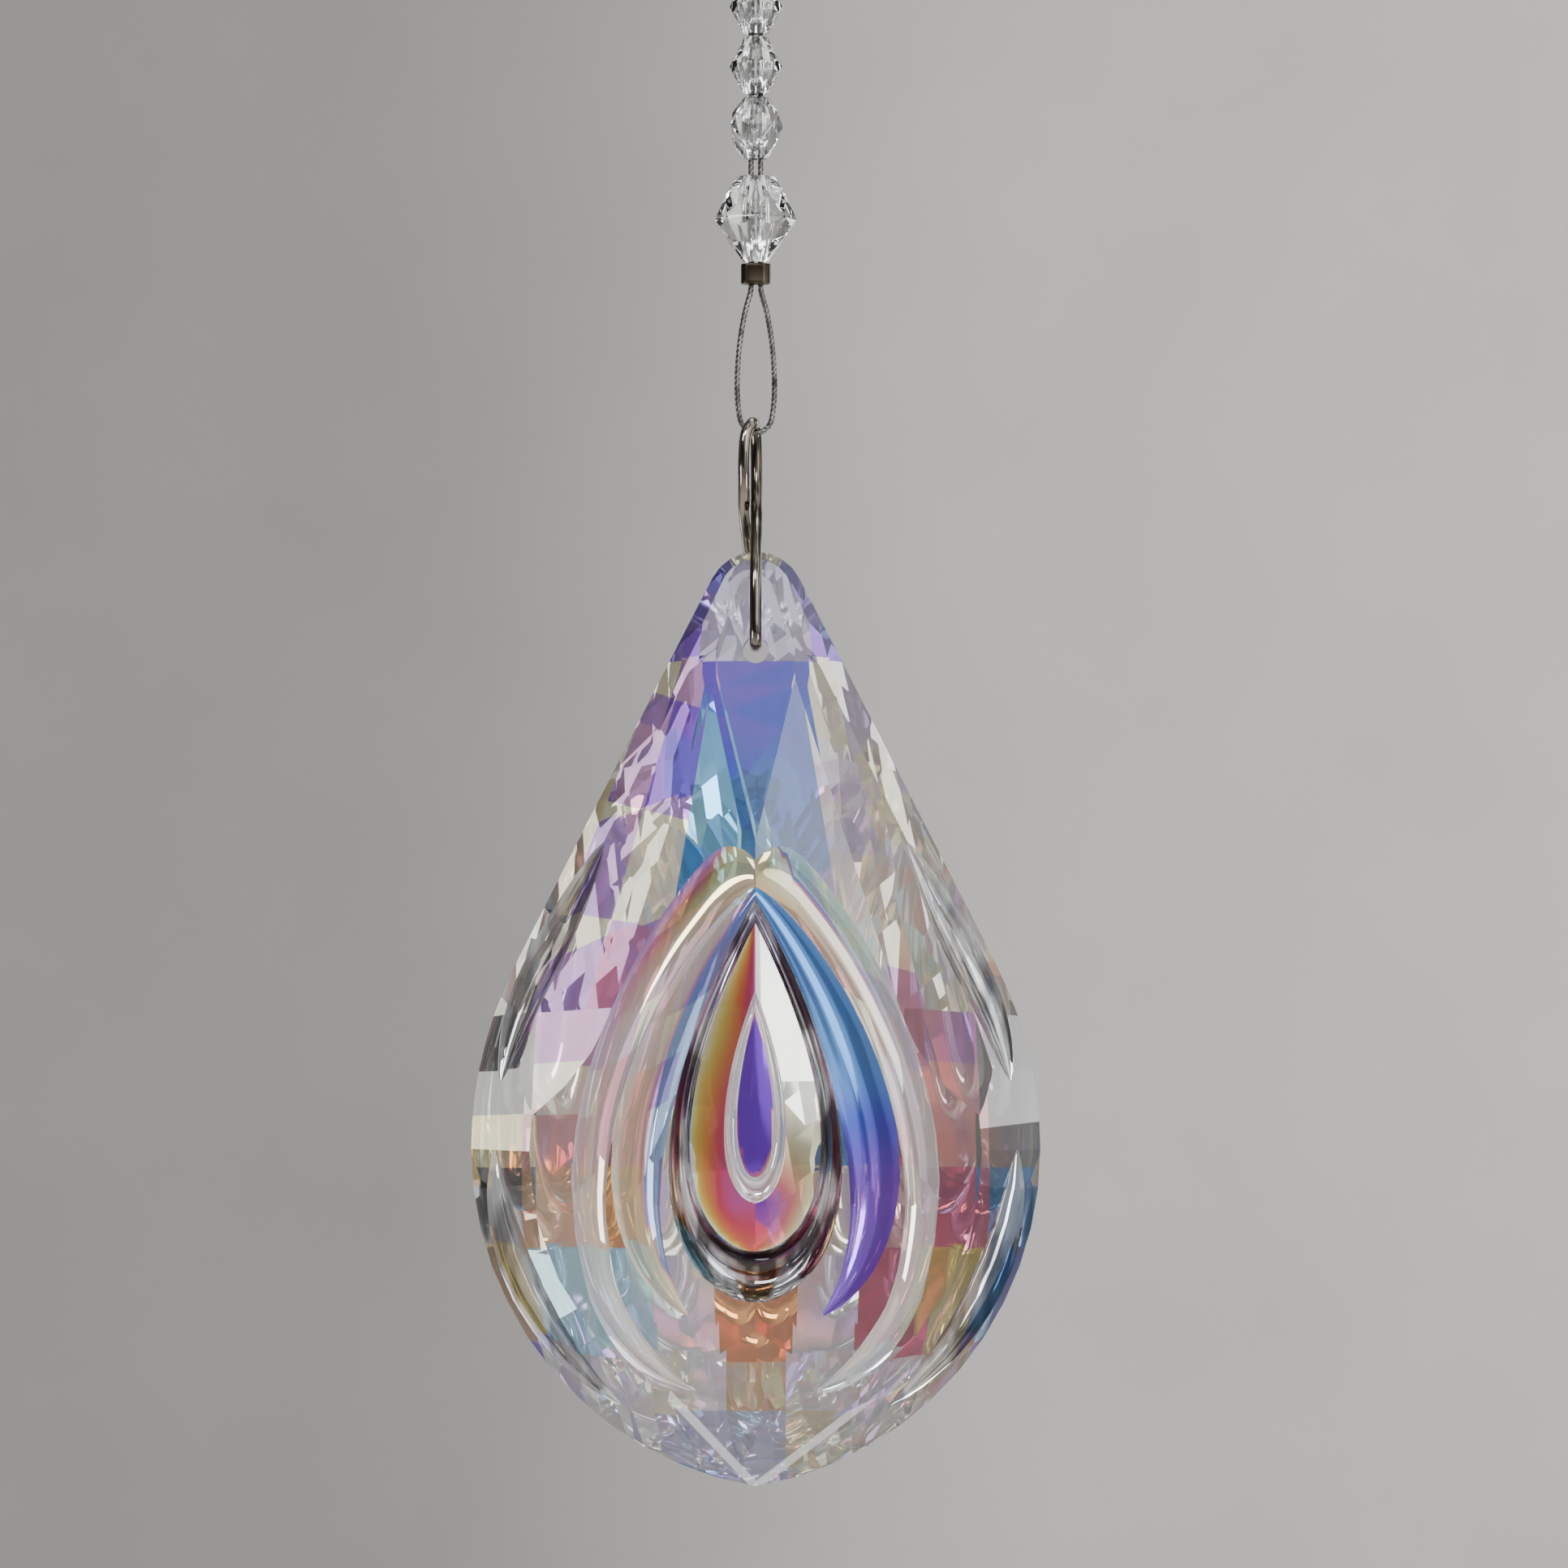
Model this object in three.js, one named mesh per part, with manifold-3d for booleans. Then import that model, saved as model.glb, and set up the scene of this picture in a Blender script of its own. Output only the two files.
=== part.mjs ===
// A crystal suncatcher: a large cut crystal drop on a bent wire pin, under a short strand of clear
// beads on a doubled steel wire. Millimetres, +Z up, the front of the drop faces -Y.
// The origin is the point inside the top of the hang ring that rests on a hook.

import * as THREE from 'three';
import { mergeVertices } from 'three/addons/utils/BufferGeometryUtils.js';
import { ConvexGeometry } from 'three/addons/geometries/ConvexGeometry.js';
import Module from 'manifold-3d';

const wasm = await Module();
wasm.setup();

// Sizes of the hang ring
const ringInnerRadius = 4.0;
const ringWireDiameter = 1.0;

// Sizes of the beading wire
const wireDiameter = 0.46;
const strandSpacing = 0.78;
const upperLoopLength = 7.0;
const upperLoopWidth = 2.2;
const lowerLoopLength = 12.15;
const lowerLoopWidth = 3.05;
const wireEndGap = 0.3;

// Sizes of the crimps
const crimpWidth = 2.45;
const crimpDepth = 1.6;
const crimpLength = 1.66;

// Lengths and widths of the beads, and the bare wire between them
const largeBeadLength = 7.0;
const largeBeadWidth = 6.7;
const roundBeadLength = 5.03;
const roundBeadWidth = 4.48;
const biconeLength = 4.65;
const biconeWidth = 4.35;
const beadNeckWall = 0.3;
const beadGap = 0.27;
const bareWireLength = 1.46;
const crimpGap = 0.12;

// Sizes of the pin
const pinWireDiameter = 0.96;
const pinHeight = 18.2;
const pinEyeDepth = 3.1;
const pinNeckHeight = 11.3;
const pinStrandGap = 0.06;
const pinLean = 0.45;
const pinTopLean = 0.2;
const pinBendRadius = 0.75;
const pinEndGap = 0.5;

// Outline of the drop, seen from the front
const dropHeight = 76.2;
const dropHalfWidth = 23.2;
const widestBelowTop = 48.7;
const capRadius = 4.0;
const shoulderRadius = 33.3;

// Thickness of the drop, measured from its middle plane
const frontBulge = 9.8;
const backBulge = 9.0;
const rimHalfThickness = 1.2;

// The drilled hole
const holeDiameter = 2.12;
const holeBelowTop = 8.1;

// Fits
const hangClearance = 0.1;
const strandClearance = 0.1;
const crimpClearance = 0.06;
const faceClearance = 0.35;

// Fineness of the round shapes
const capSteps = 4;
const shoulderSteps = 7;
const archSteps = 12;

// Levels down the strand, from the origin
const strandX = strandSpacing / 2;
const upperLoopTop = -2 * ringInnerRadius + wireDiameter / 2 + hangClearance;
const upperCrimpTop = upperLoopTop - upperLoopLength;
const upperLargeBeadTop = upperCrimpTop - crimpLength - crimpGap;
const smallBead3Top = upperLargeBeadTop - largeBeadLength - beadGap;
const smallBead2Top = smallBead3Top - biconeLength - beadGap;
const smallBead1Top = smallBead2Top - biconeLength - beadGap;
const lowerLargeBeadTop = smallBead1Top - roundBeadLength - bareWireLength;
const lowerCrimpTop = lowerLargeBeadTop - largeBeadLength - crimpGap;
const lowerCrimpBottom = lowerCrimpTop - crimpLength;
const lowerLoopBottom = lowerCrimpBottom - lowerLoopLength;
const pinEyeTop = lowerLoopBottom + wireDiameter / 2 + hangClearance + pinWireDiameter / 2;
const pinCrossing = pinEyeTop - pinHeight;
const holeLevel = pinCrossing + pinWireDiameter / 2 + hangClearance - holeDiameter / 2;
const dropTop = holeLevel + holeBelowTop;

// Solids and geometries

function toSolid(geometry) {
  const bare = geometry.clone();
  bare.deleteAttribute('normal');
  bare.deleteAttribute('uv');
  const merged = mergeVertices(bare, 1e-5);
  const mesh = new wasm.Mesh({
    numProp: 3,
    vertProperties: new Float32Array(merged.attributes.position.array),
    triVerts: new Uint32Array(merged.index.array),
  });
  return new wasm.Manifold(mesh);
}

function toGeometry(solid) {
  const mesh = solid.getMesh();
  const geometry = new THREE.BufferGeometry();
  geometry.setAttribute('position', new THREE.BufferAttribute(new Float32Array(mesh.vertProperties), 3));
  geometry.setIndex(new THREE.BufferAttribute(new Uint32Array(mesh.triVerts), 1));
  geometry.computeVertexNormals();
  return geometry;
}

// Outline of the drop, as points (x, z) with z = 0 at its top

function flankAngle() {
  const towardsX = dropHalfWidth - shoulderRadius;
  const towardsZ = capRadius - widestBelowTop;
  const apart = Math.hypot(towardsX, towardsZ);
  return Math.atan2(towardsZ, towardsX) + Math.acos((capRadius - shoulderRadius) / apart);
}

function arcPoints(centreX, centreZ, radius, from, to, steps) {
  const points = [];
  for (let i = 0; i <= steps; i += 1) {
    const angle = from + ((to - from) * i) / steps;
    points.push(new THREE.Vector2(centreX + radius * Math.cos(angle), centreZ + radius * Math.sin(angle)));
  }
  return points;
}

function rightOutline() {
  const flank = flankAngle();
  const archDrop = dropHeight - widestBelowTop;
  const archRadius = (dropHalfWidth ** 2 + archDrop ** 2) / (2 * dropHalfWidth);
  const archEnd = -Math.atan2(archDrop, archRadius - dropHalfWidth);
  const cap = arcPoints(0, -capRadius, capRadius, Math.PI / 2, flank, capSteps);
  const shoulder = arcPoints(
    dropHalfWidth - shoulderRadius, -widestBelowTop, shoulderRadius, flank, 0, shoulderSteps,
  );
  const arch = arcPoints(dropHalfWidth - archRadius, -widestBelowTop, archRadius, 0, archEnd, archSteps);
  return { cap, shoulder, arch };
}

const outline = rightOutline();
const rightPoints = [...outline.cap, ...outline.shoulder, ...outline.arch.slice(1)];

function outlineShape() {
  const left = rightPoints
    .slice(1, -1)
    .reverse()
    .map((point) => new THREE.Vector2(-point.x, point.y));
  return new THREE.Shape([...rightPoints, ...left].reverse());
}

// Facet planes. A plane gives the depth of the glass from the middle plane as
// depth = level + acrossSlope * x + downSlope * z, with z = 0 at the top of the drop.

function depthAt(plane, x, z) {
  return plane.level + plane.acrossSlope * x + plane.downSlope * z;
}

function planeThrough(points, bulge) {
  const [a, b, c] = points.map(([across, down, depth]) => [
    across * dropHalfWidth,
    -down * dropHeight,
    depth * bulge,
  ]);
  const area = (b[0] - a[0]) * (c[1] - a[1]) - (c[0] - a[0]) * (b[1] - a[1]);
  const acrossSlope = ((b[2] - a[2]) * (c[1] - a[1]) - (c[2] - a[2]) * (b[1] - a[1])) / area;
  const downSlope = ((b[0] - a[0]) * (c[2] - a[2]) - (c[0] - a[0]) * (b[2] - a[2])) / area;
  return { level: a[2] - acrossSlope * a[0] - downSlope * a[1], acrossSlope, downSlope };
}

function mirrored(plane) {
  return { ...plane, acrossSlope: -plane.acrossSlope };
}

// The tall facets under the cap: one in the middle, two beside it, two long ones below, two flanks.
// Each is given by three points: share of half width, share of height down, share of the bulge.
const middleFacet = [[-0.5, 0.106, 0.388], [0.5, 0.106, 0.388], [0, 0.308, 0.702]];
const shoulderFacet = [[0.138, 0.03, 0.27], [0.138, 0.1365, 0.435], [0.215, 0.0656, 0.245]];
const longFacet = [[0.138, 0.1365, 0.435], [0, 0.308, 0.702], [0, 0.63, 1.05]];
const flankFacet = [[0.205, 0.0656, 0.318], [0.53, 0.369, 0.4536], [0.724, 0.369, 0.122]];
const backFlankFacet = [[0.205, 0.0656, 0.33], [0.53, 0.369, 0.33], [0.724, 0.369, 0.133]];

function tallFacets(bulge, flank) {
  const paired = [shoulderFacet, longFacet, flank].map((points) => planeThrough(points, bulge));
  return [planeThrough(middleFacet, bulge), ...paired, ...paired.map(mirrored)];
}

// A facet that rises inwards from one edge of the outline
function rimFacet(from, to, startDepth, slope) {
  const along = to.clone().sub(from).normalize();
  const inwards = new THREE.Vector2(along.y, -along.x);
  return {
    level: startDepth - slope * inwards.dot(from),
    acrossSlope: slope * inwards.x,
    downSlope: slope * inwards.y,
  };
}

const rimSlope = 0.72;
const crownSlope = 0.3;
const tipSlope = 0.446;
const crownDistance = 0.215 * dropHalfWidth;

function rimFacets(points, stride, startDepth, slope) {
  const facets = [];
  for (let i = 0; i + stride < points.length; i += stride) {
    const facet = rimFacet(points[i], points[i + stride], startDepth, slope);
    facets.push(facet, mirrored(facet));
  }
  return facets;
}

const tipFacet = { level: rimHalfThickness + tipSlope * dropHeight, acrossSlope: 0, downSlope: tipSlope };

function frontFacets() {
  const lowerRim = [...outline.shoulder, ...outline.arch.slice(1)];
  const crownStart = rimHalfThickness + (rimSlope - crownSlope) * crownDistance;
  return [
    ...tallFacets(frontBulge, flankFacet),
    ...rimFacets(outline.cap, 1, rimHalfThickness, rimSlope),
    ...rimFacets(lowerRim, 1, rimHalfThickness, rimSlope),
    ...rimFacets(lowerRim, 2, crownStart, crownSlope),
    tipFacet,
    { level: frontBulge, acrossSlope: 0, downSlope: 0 },
  ];
}

// The smooth dome that the back's chequered facets touch and that the front's flutes follow
const domeCentre = -0.59 * dropHeight;
const domeAcross = 0.83 / dropHalfWidth ** 2;
const domeUp = 3.73 / dropHeight ** 2;
const domeDown = 5.5 / dropHeight ** 2;

function domeDepth(bulge, x, z) {
  const fall = z > domeCentre ? domeUp : domeDown;
  return bulge * (1 - domeAcross * x * x - fall * (z - domeCentre) ** 2);
}

function domeFacet(bulge, x, z) {
  const fall = z > domeCentre ? domeUp : domeDown;
  const acrossSlope = -2 * bulge * domeAcross * x;
  const downSlope = -2 * bulge * fall * (z - domeCentre);
  return { level: domeDepth(bulge, x, z) - acrossSlope * x - downSlope * z, acrossSlope, downSlope };
}

const chequerRows = [0.53, 0.582, 0.63, 0.695, 0.79, 0.9];
const chequerPitch = 0.21 * dropHalfWidth;
const chequerColumns = 4;

function backFacets() {
  const chequer = chequerRows.flatMap((share) => {
    const columns = [];
    for (let column = -chequerColumns; column <= chequerColumns; column += 1) {
      columns.push(domeFacet(backBulge, column * chequerPitch, -share * dropHeight));
    }
    return columns;
  });
  const lowerRim = [...outline.shoulder, ...outline.arch.slice(1)];
  return [
    ...tallFacets(backBulge, backFlankFacet),
    ...chequer,
    ...rimFacets(outline.cap, 1, rimHalfThickness, rimSlope),
    ...rimFacets(lowerRim, 1, rimHalfThickness, rimSlope),
    tipFacet,
  ];
}

function grind(solid, plane, side) {
  const inwards = [plane.acrossSlope, -side, plane.downSlope];
  const length = Math.hypot(...inwards);
  return solid.trimByPlane(inwards.map((value) => value / length), -plane.level / length);
}

// Flutes of the front. A flute runs between two curves and is a round gouge: at each step its
// section is an arc through a point of either curve, sunk below the glass by a share of its width.

const front = frontFacets();

function glassDepth(x, z) {
  const facets = front.map((plane) => depthAt(plane, x, z));
  return Math.min(domeDepth(frontBulge, x, z), ...facets);
}

// A teardrop line: share of height at its top and bottom, share of half width, and its point
const loops = {
  innerDropInside: { top: 0.486, bottom: 0.661, width: 0.063, point: 1 },
  innerDropOutside: { top: 0.465, bottom: 0.688, width: 0.108, point: 1 },
  ringInside: { top: 0.395, bottom: 0.74, width: 0.226, point: 1 },
  ringOutside: { top: 0.369, bottom: 0.794, width: 0.3, point: 1 },
  secondLoop: { top: 0.357, bottom: 0.882, width: 0.513, point: 0.6 },
  thirdLoop: { top: 0.283, bottom: 0.93, width: 0.642, point: 0.6, notch: 0.047, notchHalfWidth: 0.18 },
};

function loopPoint(loop, share) {
  const angle = Math.PI * share;
  const widestAngle = Math.acos(-loop.point / (loop.point + 2));
  const swell = (turn) => Math.sin(turn) * Math.sin(turn / 2) ** loop.point;
  const across = (loop.width * swell(angle)) / swell(widestAngle);
  const down = loop.top + ((loop.bottom - loop.top) * (1 - Math.cos(angle))) / 2;
  const inNotch = loop.notch ? Math.max(0, 1 - across / loop.notchHalfWidth) : 0;
  const dip = inNotch && angle < widestAngle ? loop.notch * inNotch ** 2 : 0;
  return new THREE.Vector2(dropHalfWidth * across, -dropHeight * (down + dip));
}

function gougeSection(inside, outside, sink) {
  const a = new THREE.Vector3(inside.x, -glassDepth(inside.x, inside.y), inside.y);
  const b = new THREE.Vector3(outside.x, -glassDepth(outside.x, outside.y), outside.y);
  const across = b.clone().sub(a);
  const width = across.length();
  across.normalize();
  const outwards = new THREE.Vector3(0, -1, 0);
  outwards.addScaledVector(across, -outwards.dot(across)).normalize();
  const radius = width * (0.25 + sink * sink) / (2 * sink);
  const centre = a.add(b).multiplyScalar(0.5).addScaledVector(outwards, radius - sink * width);
  return { centre, across, outwards, radius };
}

function mirroredSection(section) {
  const flip = new THREE.Vector3(-1, 1, 1);
  return {
    centre: section.centre.clone().multiply(flip),
    across: section.across.clone().multiply(flip),
    outwards: section.outwards.clone().multiply(flip),
    radius: section.radius,
  };
}

// A closed mesh round a row of circles, either closed on itself or with flat ends
function tubeThrough(sections, sides, closed) {
  const positions = [];
  sections.forEach(({ centre, across, outwards, radius }) => {
    for (let i = 0; i < sides; i += 1) {
      const angle = (2 * Math.PI * i) / sides;
      const point = centre
        .clone()
        .addScaledVector(across, radius * Math.cos(angle))
        .addScaledVector(outwards, radius * Math.sin(angle));
      positions.push(point.x, point.y, point.z);
    }
  });
  const index = [];
  const rings = sections.length;
  const spans = closed ? rings : rings - 1;
  for (let ring = 0; ring < spans; ring += 1) {
    const next = (ring + 1) % rings;
    for (let i = 0; i < sides; i += 1) {
      const j = (i + 1) % sides;
      index.push(ring * sides + i, ring * sides + j, next * sides + j);
      index.push(ring * sides + i, next * sides + j, next * sides + i);
    }
  }
  if (!closed) {
    for (let i = 1; i + 1 < sides; i += 1) {
      index.push(0, i + 1, i);
      index.push((rings - 1) * sides, (rings - 1) * sides + i, (rings - 1) * sides + i + 1);
    }
  }
  const geometry = new THREE.BufferGeometry();
  geometry.setAttribute('position', new THREE.Float32BufferAttribute(positions, 3));
  geometry.setIndex(index);
  return geometry;
}

function rightWayOut(geometry) {
  const solid = toSolid(geometry);
  if (solid.volume() > 0) return solid;
  geometry.index.array.reverse();
  return toSolid(geometry);
}

function gouge(right, sides, closed) {
  const left = right.slice(1, closed ? -1 : undefined).map(mirroredSection);
  const sections = closed ? [...right, ...left.reverse()] : [...left.reverse(), ...right];
  return rightWayOut(tubeThrough(sections, sides, closed));
}

// A flute that runs right round between two teardrops
function roundFlute(inside, outside, sink, steps, sides) {
  const right = [];
  for (let i = 0; i <= steps; i += 1) {
    right.push(gougeSection(loopPoint(inside, i / steps), loopPoint(outside, i / steps), sink));
  }
  return gouge(right, sides, true);
}

// A flute like an arch, which narrows to a point on either side
function archFlute(inside, outside, end, sink, steps, sides) {
  const right = [];
  for (let i = 0; i <= steps; i += 1) {
    const share = end * (i / steps) ** 1.35;
    const narrowing = 0.48 * Math.max(0, (share / end - 0.55) / 0.45) ** 1.6;
    const a = loopPoint(inside, share);
    const b = loopPoint(outside, share);
    right.push(gougeSection(a.clone().lerp(b, narrowing), b.clone().lerp(a, narrowing), sink));
  }
  return gouge(right, sides, false);
}

// A lens-shaped flute beside the rim: it runs between two shares of the height
function rimFlute(from, to, inset, width, sink, steps, sides) {
  const right = [];
  for (let i = 0; i <= steps; i += 1) {
    const share = from + ((to - from) * i) / steps;
    const swell = width * (0.06 + 0.94 * Math.sin((Math.PI * i) / steps) ** 0.7);
    const rim = outlineAt(-share * dropHeight);
    const middle = rim.point.clone().addScaledVector(rim.inwards, inset);
    const inside = middle.clone().addScaledVector(rim.inwards, swell / 2);
    const outside = middle.clone().addScaledVector(rim.inwards, -swell / 2);
    right.push(gougeSection(inside, outside, sink));
  }
  const one = rightWayOut(tubeThrough(right, sides, false));
  const other = rightWayOut(tubeThrough(right.map(mirroredSection), sides, false));
  return one.add(other);
}

// The point of the right outline at a height, with the direction into the glass
function outlineAt(z) {
  const next = rightPoints.findIndex((point) => point.y < z);
  const from = rightPoints[next - 1];
  const to = rightPoints[next];
  const along = to.clone().sub(from).normalize();
  const point = from.clone().lerp(to, (z - from.y) / (to.y - from.y));
  return { point, inwards: new THREE.Vector2(along.y, -along.x) };
}

const rimFluteInset = 0.085 * dropHalfWidth;
const rimFluteWidth = 0.125 * dropHalfWidth;

// How far each flute sinks, as a share of its width
const innerSink = 0.34;
const grooveSink = 0.55;
const archSink = 0.12;
const rimSink = 0.24;

function flutes() {
  return [
    roundFlute(loops.innerDropInside, loops.innerDropOutside, innerSink, 14, 10),
    roundFlute(loops.ringInside, loops.ringOutside, grooveSink, 18, 12),
    archFlute(loops.ringOutside, loops.secondLoop, 0.84, archSink, 16, 14),
    archFlute(loops.secondLoop, loops.thirdLoop, 0.9, archSink, 18, 14),
    rimFlute(0.3, 0.56, rimFluteInset, rimFluteWidth, rimSink, 12, 12),
    rimFlute(0.64, 0.93, rimFluteInset, rimFluteWidth, rimSink, 12, 12),
  ];
}

function dropSolid() {
  const blockDepth = 1.2 * (frontBulge + backBulge);
  const block = new THREE.ExtrudeGeometry(outlineShape(), { depth: blockDepth, bevelEnabled: false });
  block.rotateX(Math.PI / 2);
  block.translate(0, blockDepth / 2, 0);
  let solid = toSolid(block);
  front.forEach((plane) => {
    solid = grind(solid, plane, -1);
  });
  backFacets().forEach((plane) => {
    solid = grind(solid, plane, 1);
  });
  flutes().forEach((flute) => {
    solid = solid.subtract(flute);
  });
  const drill = new THREE.CylinderGeometry(holeDiameter / 2, holeDiameter / 2, blockDepth, 24);
  drill.translate(0, 0, -holeBelowTop);
  return solid.subtract(toSolid(drill));
}

// Beads. A bead is the hull of rings of corners, each ring turned half a step from the last.

const boreRadius = strandX + wireDiameter / 2 + strandClearance;

function beadSolid(rings, sides, length) {
  const corners = [];
  rings.forEach(([radius, below], ring) => {
    for (let i = 0; i < sides; i += 1) {
      const angle = (2 * Math.PI * (i + (ring % 2) / 2)) / sides;
      corners.push(new THREE.Vector3(radius * Math.cos(angle), radius * Math.sin(angle), -below));
    }
  });
  const bore = new THREE.CylinderGeometry(boreRadius, boreRadius, 2 * length, 16);
  bore.rotateX(Math.PI / 2);
  return toSolid(new ConvexGeometry(corners)).subtract(toSolid(bore));
}

const neckRadius = boreRadius + beadNeckWall;

function largeBead() {
  const half = largeBeadWidth / 2;
  const rings = [
    [Math.max(neckRadius, 0.46 * half), 0],
    [0.79 * half, 0.22 * largeBeadLength],
    [half, 0.5 * largeBeadLength],
    [0.94 * half, 0.61 * largeBeadLength],
    [neckRadius, largeBeadLength],
  ];
  return beadSolid(rings, 8, largeBeadLength);
}

function roundBead() {
  const half = roundBeadWidth / 2;
  const rings = [
    [neckRadius, 0],
    [0.87 * half, 0.25 * roundBeadLength],
    [half, 0.47 * roundBeadLength],
    [0.84 * half, 0.76 * roundBeadLength],
    [neckRadius, roundBeadLength],
  ];
  return beadSolid(rings, 7, roundBeadLength);
}

function biconeBead() {
  const half = biconeWidth / 2;
  const rings = [
    [neckRadius, 0],
    [0.93 * half, 0.42 * biconeLength],
    [half, 0.52 * biconeLength],
    [0.7 * half, 0.8 * biconeLength],
    [neckRadius, biconeLength],
  ];
  return beadSolid(rings, 6, biconeLength);
}

// Crimps: a flattened tube round the two strands

function slotPath(path, halfSpan, radius) {
  path.absarc(halfSpan, 0, radius, -Math.PI / 2, Math.PI / 2, false);
  path.absarc(-halfSpan, 0, radius, Math.PI / 2, (3 * Math.PI) / 2, false);
  path.closePath();
  return path;
}

function crimpGeometry() {
  const outer = slotPath(new THREE.Shape(), (crimpWidth - crimpDepth) / 2, crimpDepth / 2);
  const bore = wireDiameter / 2 + crimpClearance;
  outer.holes.push(slotPath(new THREE.Path(), strandX, bore));
  return new THREE.ExtrudeGeometry(outer, { depth: crimpLength, bevelEnabled: false, curveSegments: 8 });
}

// Wires. The steps of a route follow its points, which lie closer together in the bends.

class Route extends THREE.CatmullRomCurve3 {
  getPointAt(share) {
    return this.getPoint(share);
  }

  getTangentAt(share) {
    return this.getTangent(share);
  }
}

function roundSection(diameter, sides) {
  const corners = [];
  for (let i = 0; i < sides; i += 1) {
    const angle = (2 * Math.PI * i) / sides;
    corners.push(new THREE.Vector2((diameter / 2) * Math.cos(angle), (diameter / 2) * Math.sin(angle)));
  }
  return new THREE.Shape(corners);
}

function wireAlong(points, diameter, sides, steps) {
  const route = new Route(points, false, 'centripetal');
  return new THREE.ExtrudeGeometry(roundSection(diameter, sides), { steps, extrudePath: route });
}

const at = (x, y, z) => new THREE.Vector3(x, y, z);

// The loop's right side from a crimp to its turn; up is 1 for the upper loop
function loopSide(start, end, width, up) {
  const length = Math.abs(end - start);
  return [
    at(strandX * 1.05, 0, start + up * 0.04 * length),
    at(0.3 * width, 0, start + up * 0.2 * length),
    at(0.44 * width, 0, start + up * 0.42 * length),
    at(0.5 * width, 0, start + up * 0.66 * length),
    at(0.47 * width, 0, start + up * 0.83 * length),
    at(0.38 * width, 0, start + up * 0.94 * length),
    at(0.2 * width, 0, start + up * 0.988 * length),
  ];
}

const mirroredBack = (points) => points.map((point) => at(-point.x, point.y, point.z)).reverse();

// From inside the lower crimp down round the pin, up the right strand, round the ring, and down
// the left strand to the same crimp
function wirePoints() {
  const ends = lowerCrimpTop - crimpLength / 2;
  const lowerSide = loopSide(lowerCrimpBottom, lowerLoopBottom, lowerLoopWidth, -1);
  const upperSide = loopSide(upperCrimpTop, upperLoopTop, upperLoopWidth, 1);
  const spans = 6;
  const climb = [];
  for (let i = 1; i < spans; i += 1) {
    climb.push(at(strandX, 0, lowerCrimpBottom + ((upperCrimpTop - lowerCrimpBottom) * i) / spans));
  }
  return [
    at(-strandX, 0, ends - wireEndGap / 2),
    at(-strandX, 0, lowerCrimpBottom),
    ...mirroredBack(lowerSide).reverse(),
    at(0, 0, lowerLoopBottom),
    ...lowerSide.slice().reverse(),
    at(strandX, 0, lowerCrimpBottom),
    ...climb,
    at(strandX, 0, upperCrimpTop),
    ...upperSide,
    at(0, 0, upperLoopTop),
    ...mirroredBack(upperSide),
    at(-strandX, 0, upperCrimpTop),
    ...mirroredBack(climb),
    at(-strandX, 0, ends + wireEndGap / 2),
  ];
}

// The pin: from its front end in the hole, up the front leg, across behind to the eye, over the
// wire loop and down the back leg into the hole again
function pinPoints() {
  const faceAt = (side, z) => {
    const planes = side < 0 ? front : backFacets();
    return Math.min(...planes.map((plane) => depthAt(plane, 0, z - dropTop)));
  };
  const legOut = (side) => faceAt(side, pinCrossing) + faceClearance + pinWireDiameter / 2;
  const leg = (side) => {
    const out = legOut(side);
    const bend = pinBendRadius;
    return [
      at(0, side * pinEndGap / 2, pinCrossing),
      at(0, side * (out - bend) * 0.5, pinCrossing),
      at(0, side * (out - bend), pinCrossing),
      at(0, side * (out - 0.29 * bend), pinCrossing + 0.29 * bend),
      at(0, side * out, pinCrossing + bend),
      at(0, side * out, pinCrossing + 3.2 * bend),
    ];
  };
  const sideStep = (pinWireDiameter + pinStrandGap) / 2;
  const rightX = sideStep - pinLean;
  const leftX = -sideStep - pinLean;
  const neck = pinCrossing + pinNeckHeight;
  const eyeOut = (pinEyeDepth - pinWireDiameter) / 2;
  const rise = pinEyeTop - neck;
  const frontLeg = leg(-1);
  const backLeg = leg(1);
  const overTop = (side, x) => [
    at(x, side * 0.72 * eyeOut, neck + 0.3 * rise),
    at(x, side * eyeOut, neck + 0.56 * rise),
    at(x + 0.25 * (-pinTopLean - x), side * 0.88 * eyeOut, pinEyeTop - 0.13 * rise),
    at(x + 0.8 * (-pinTopLean - x), side * 0.48 * eyeOut, pinEyeTop - 0.018 * rise),
  ];
  const climb = (side, x) => [
    at(x * 0.3, side * legOut(side) * 0.9, pinCrossing + 0.52 * pinNeckHeight),
    at(x * 0.7, side * legOut(side) * 0.55, neck - 0.25 * pinNeckHeight),
    at(x, side * 0.2 * pinWireDiameter, neck),
  ];
  return [
    ...frontLeg,
    ...climb(-1, rightX),
    ...overTop(1, rightX),
    at(-pinTopLean, 0, pinEyeTop),
    ...overTop(-1, leftX).reverse(),
    ...climb(1, leftX).reverse(),
    ...backLeg.reverse(),
  ];
}

function ringGeometry() {
  const radius = ringInnerRadius + ringWireDiameter / 2;
  return new THREE.TorusGeometry(radius, ringWireDiameter / 2, 10, 28);
}

// Materials

function coatedCrystal() {
  return new THREE.MeshStandardMaterial({ color: 0xd9dce6, roughness: 0.03, metalness: 0.1 });
}

function clearBead() {
  return new THREE.MeshStandardMaterial({ color: 0xe4e4e2, roughness: 0.04, metalness: 0 });
}

function darkCrimp() {
  return new THREE.MeshStandardMaterial({ color: 0x3a3029, roughness: 0.35, metalness: 0.9 });
}

function steelWire() {
  return new THREE.MeshStandardMaterial({ color: 0x8c8c8a, roughness: 0.3, metalness: 0.95 });
}

function nickelWire() {
  return new THREE.MeshStandardMaterial({ color: 0x9b958c, roughness: 0.12, metalness: 1 });
}

// The suncatcher

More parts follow.
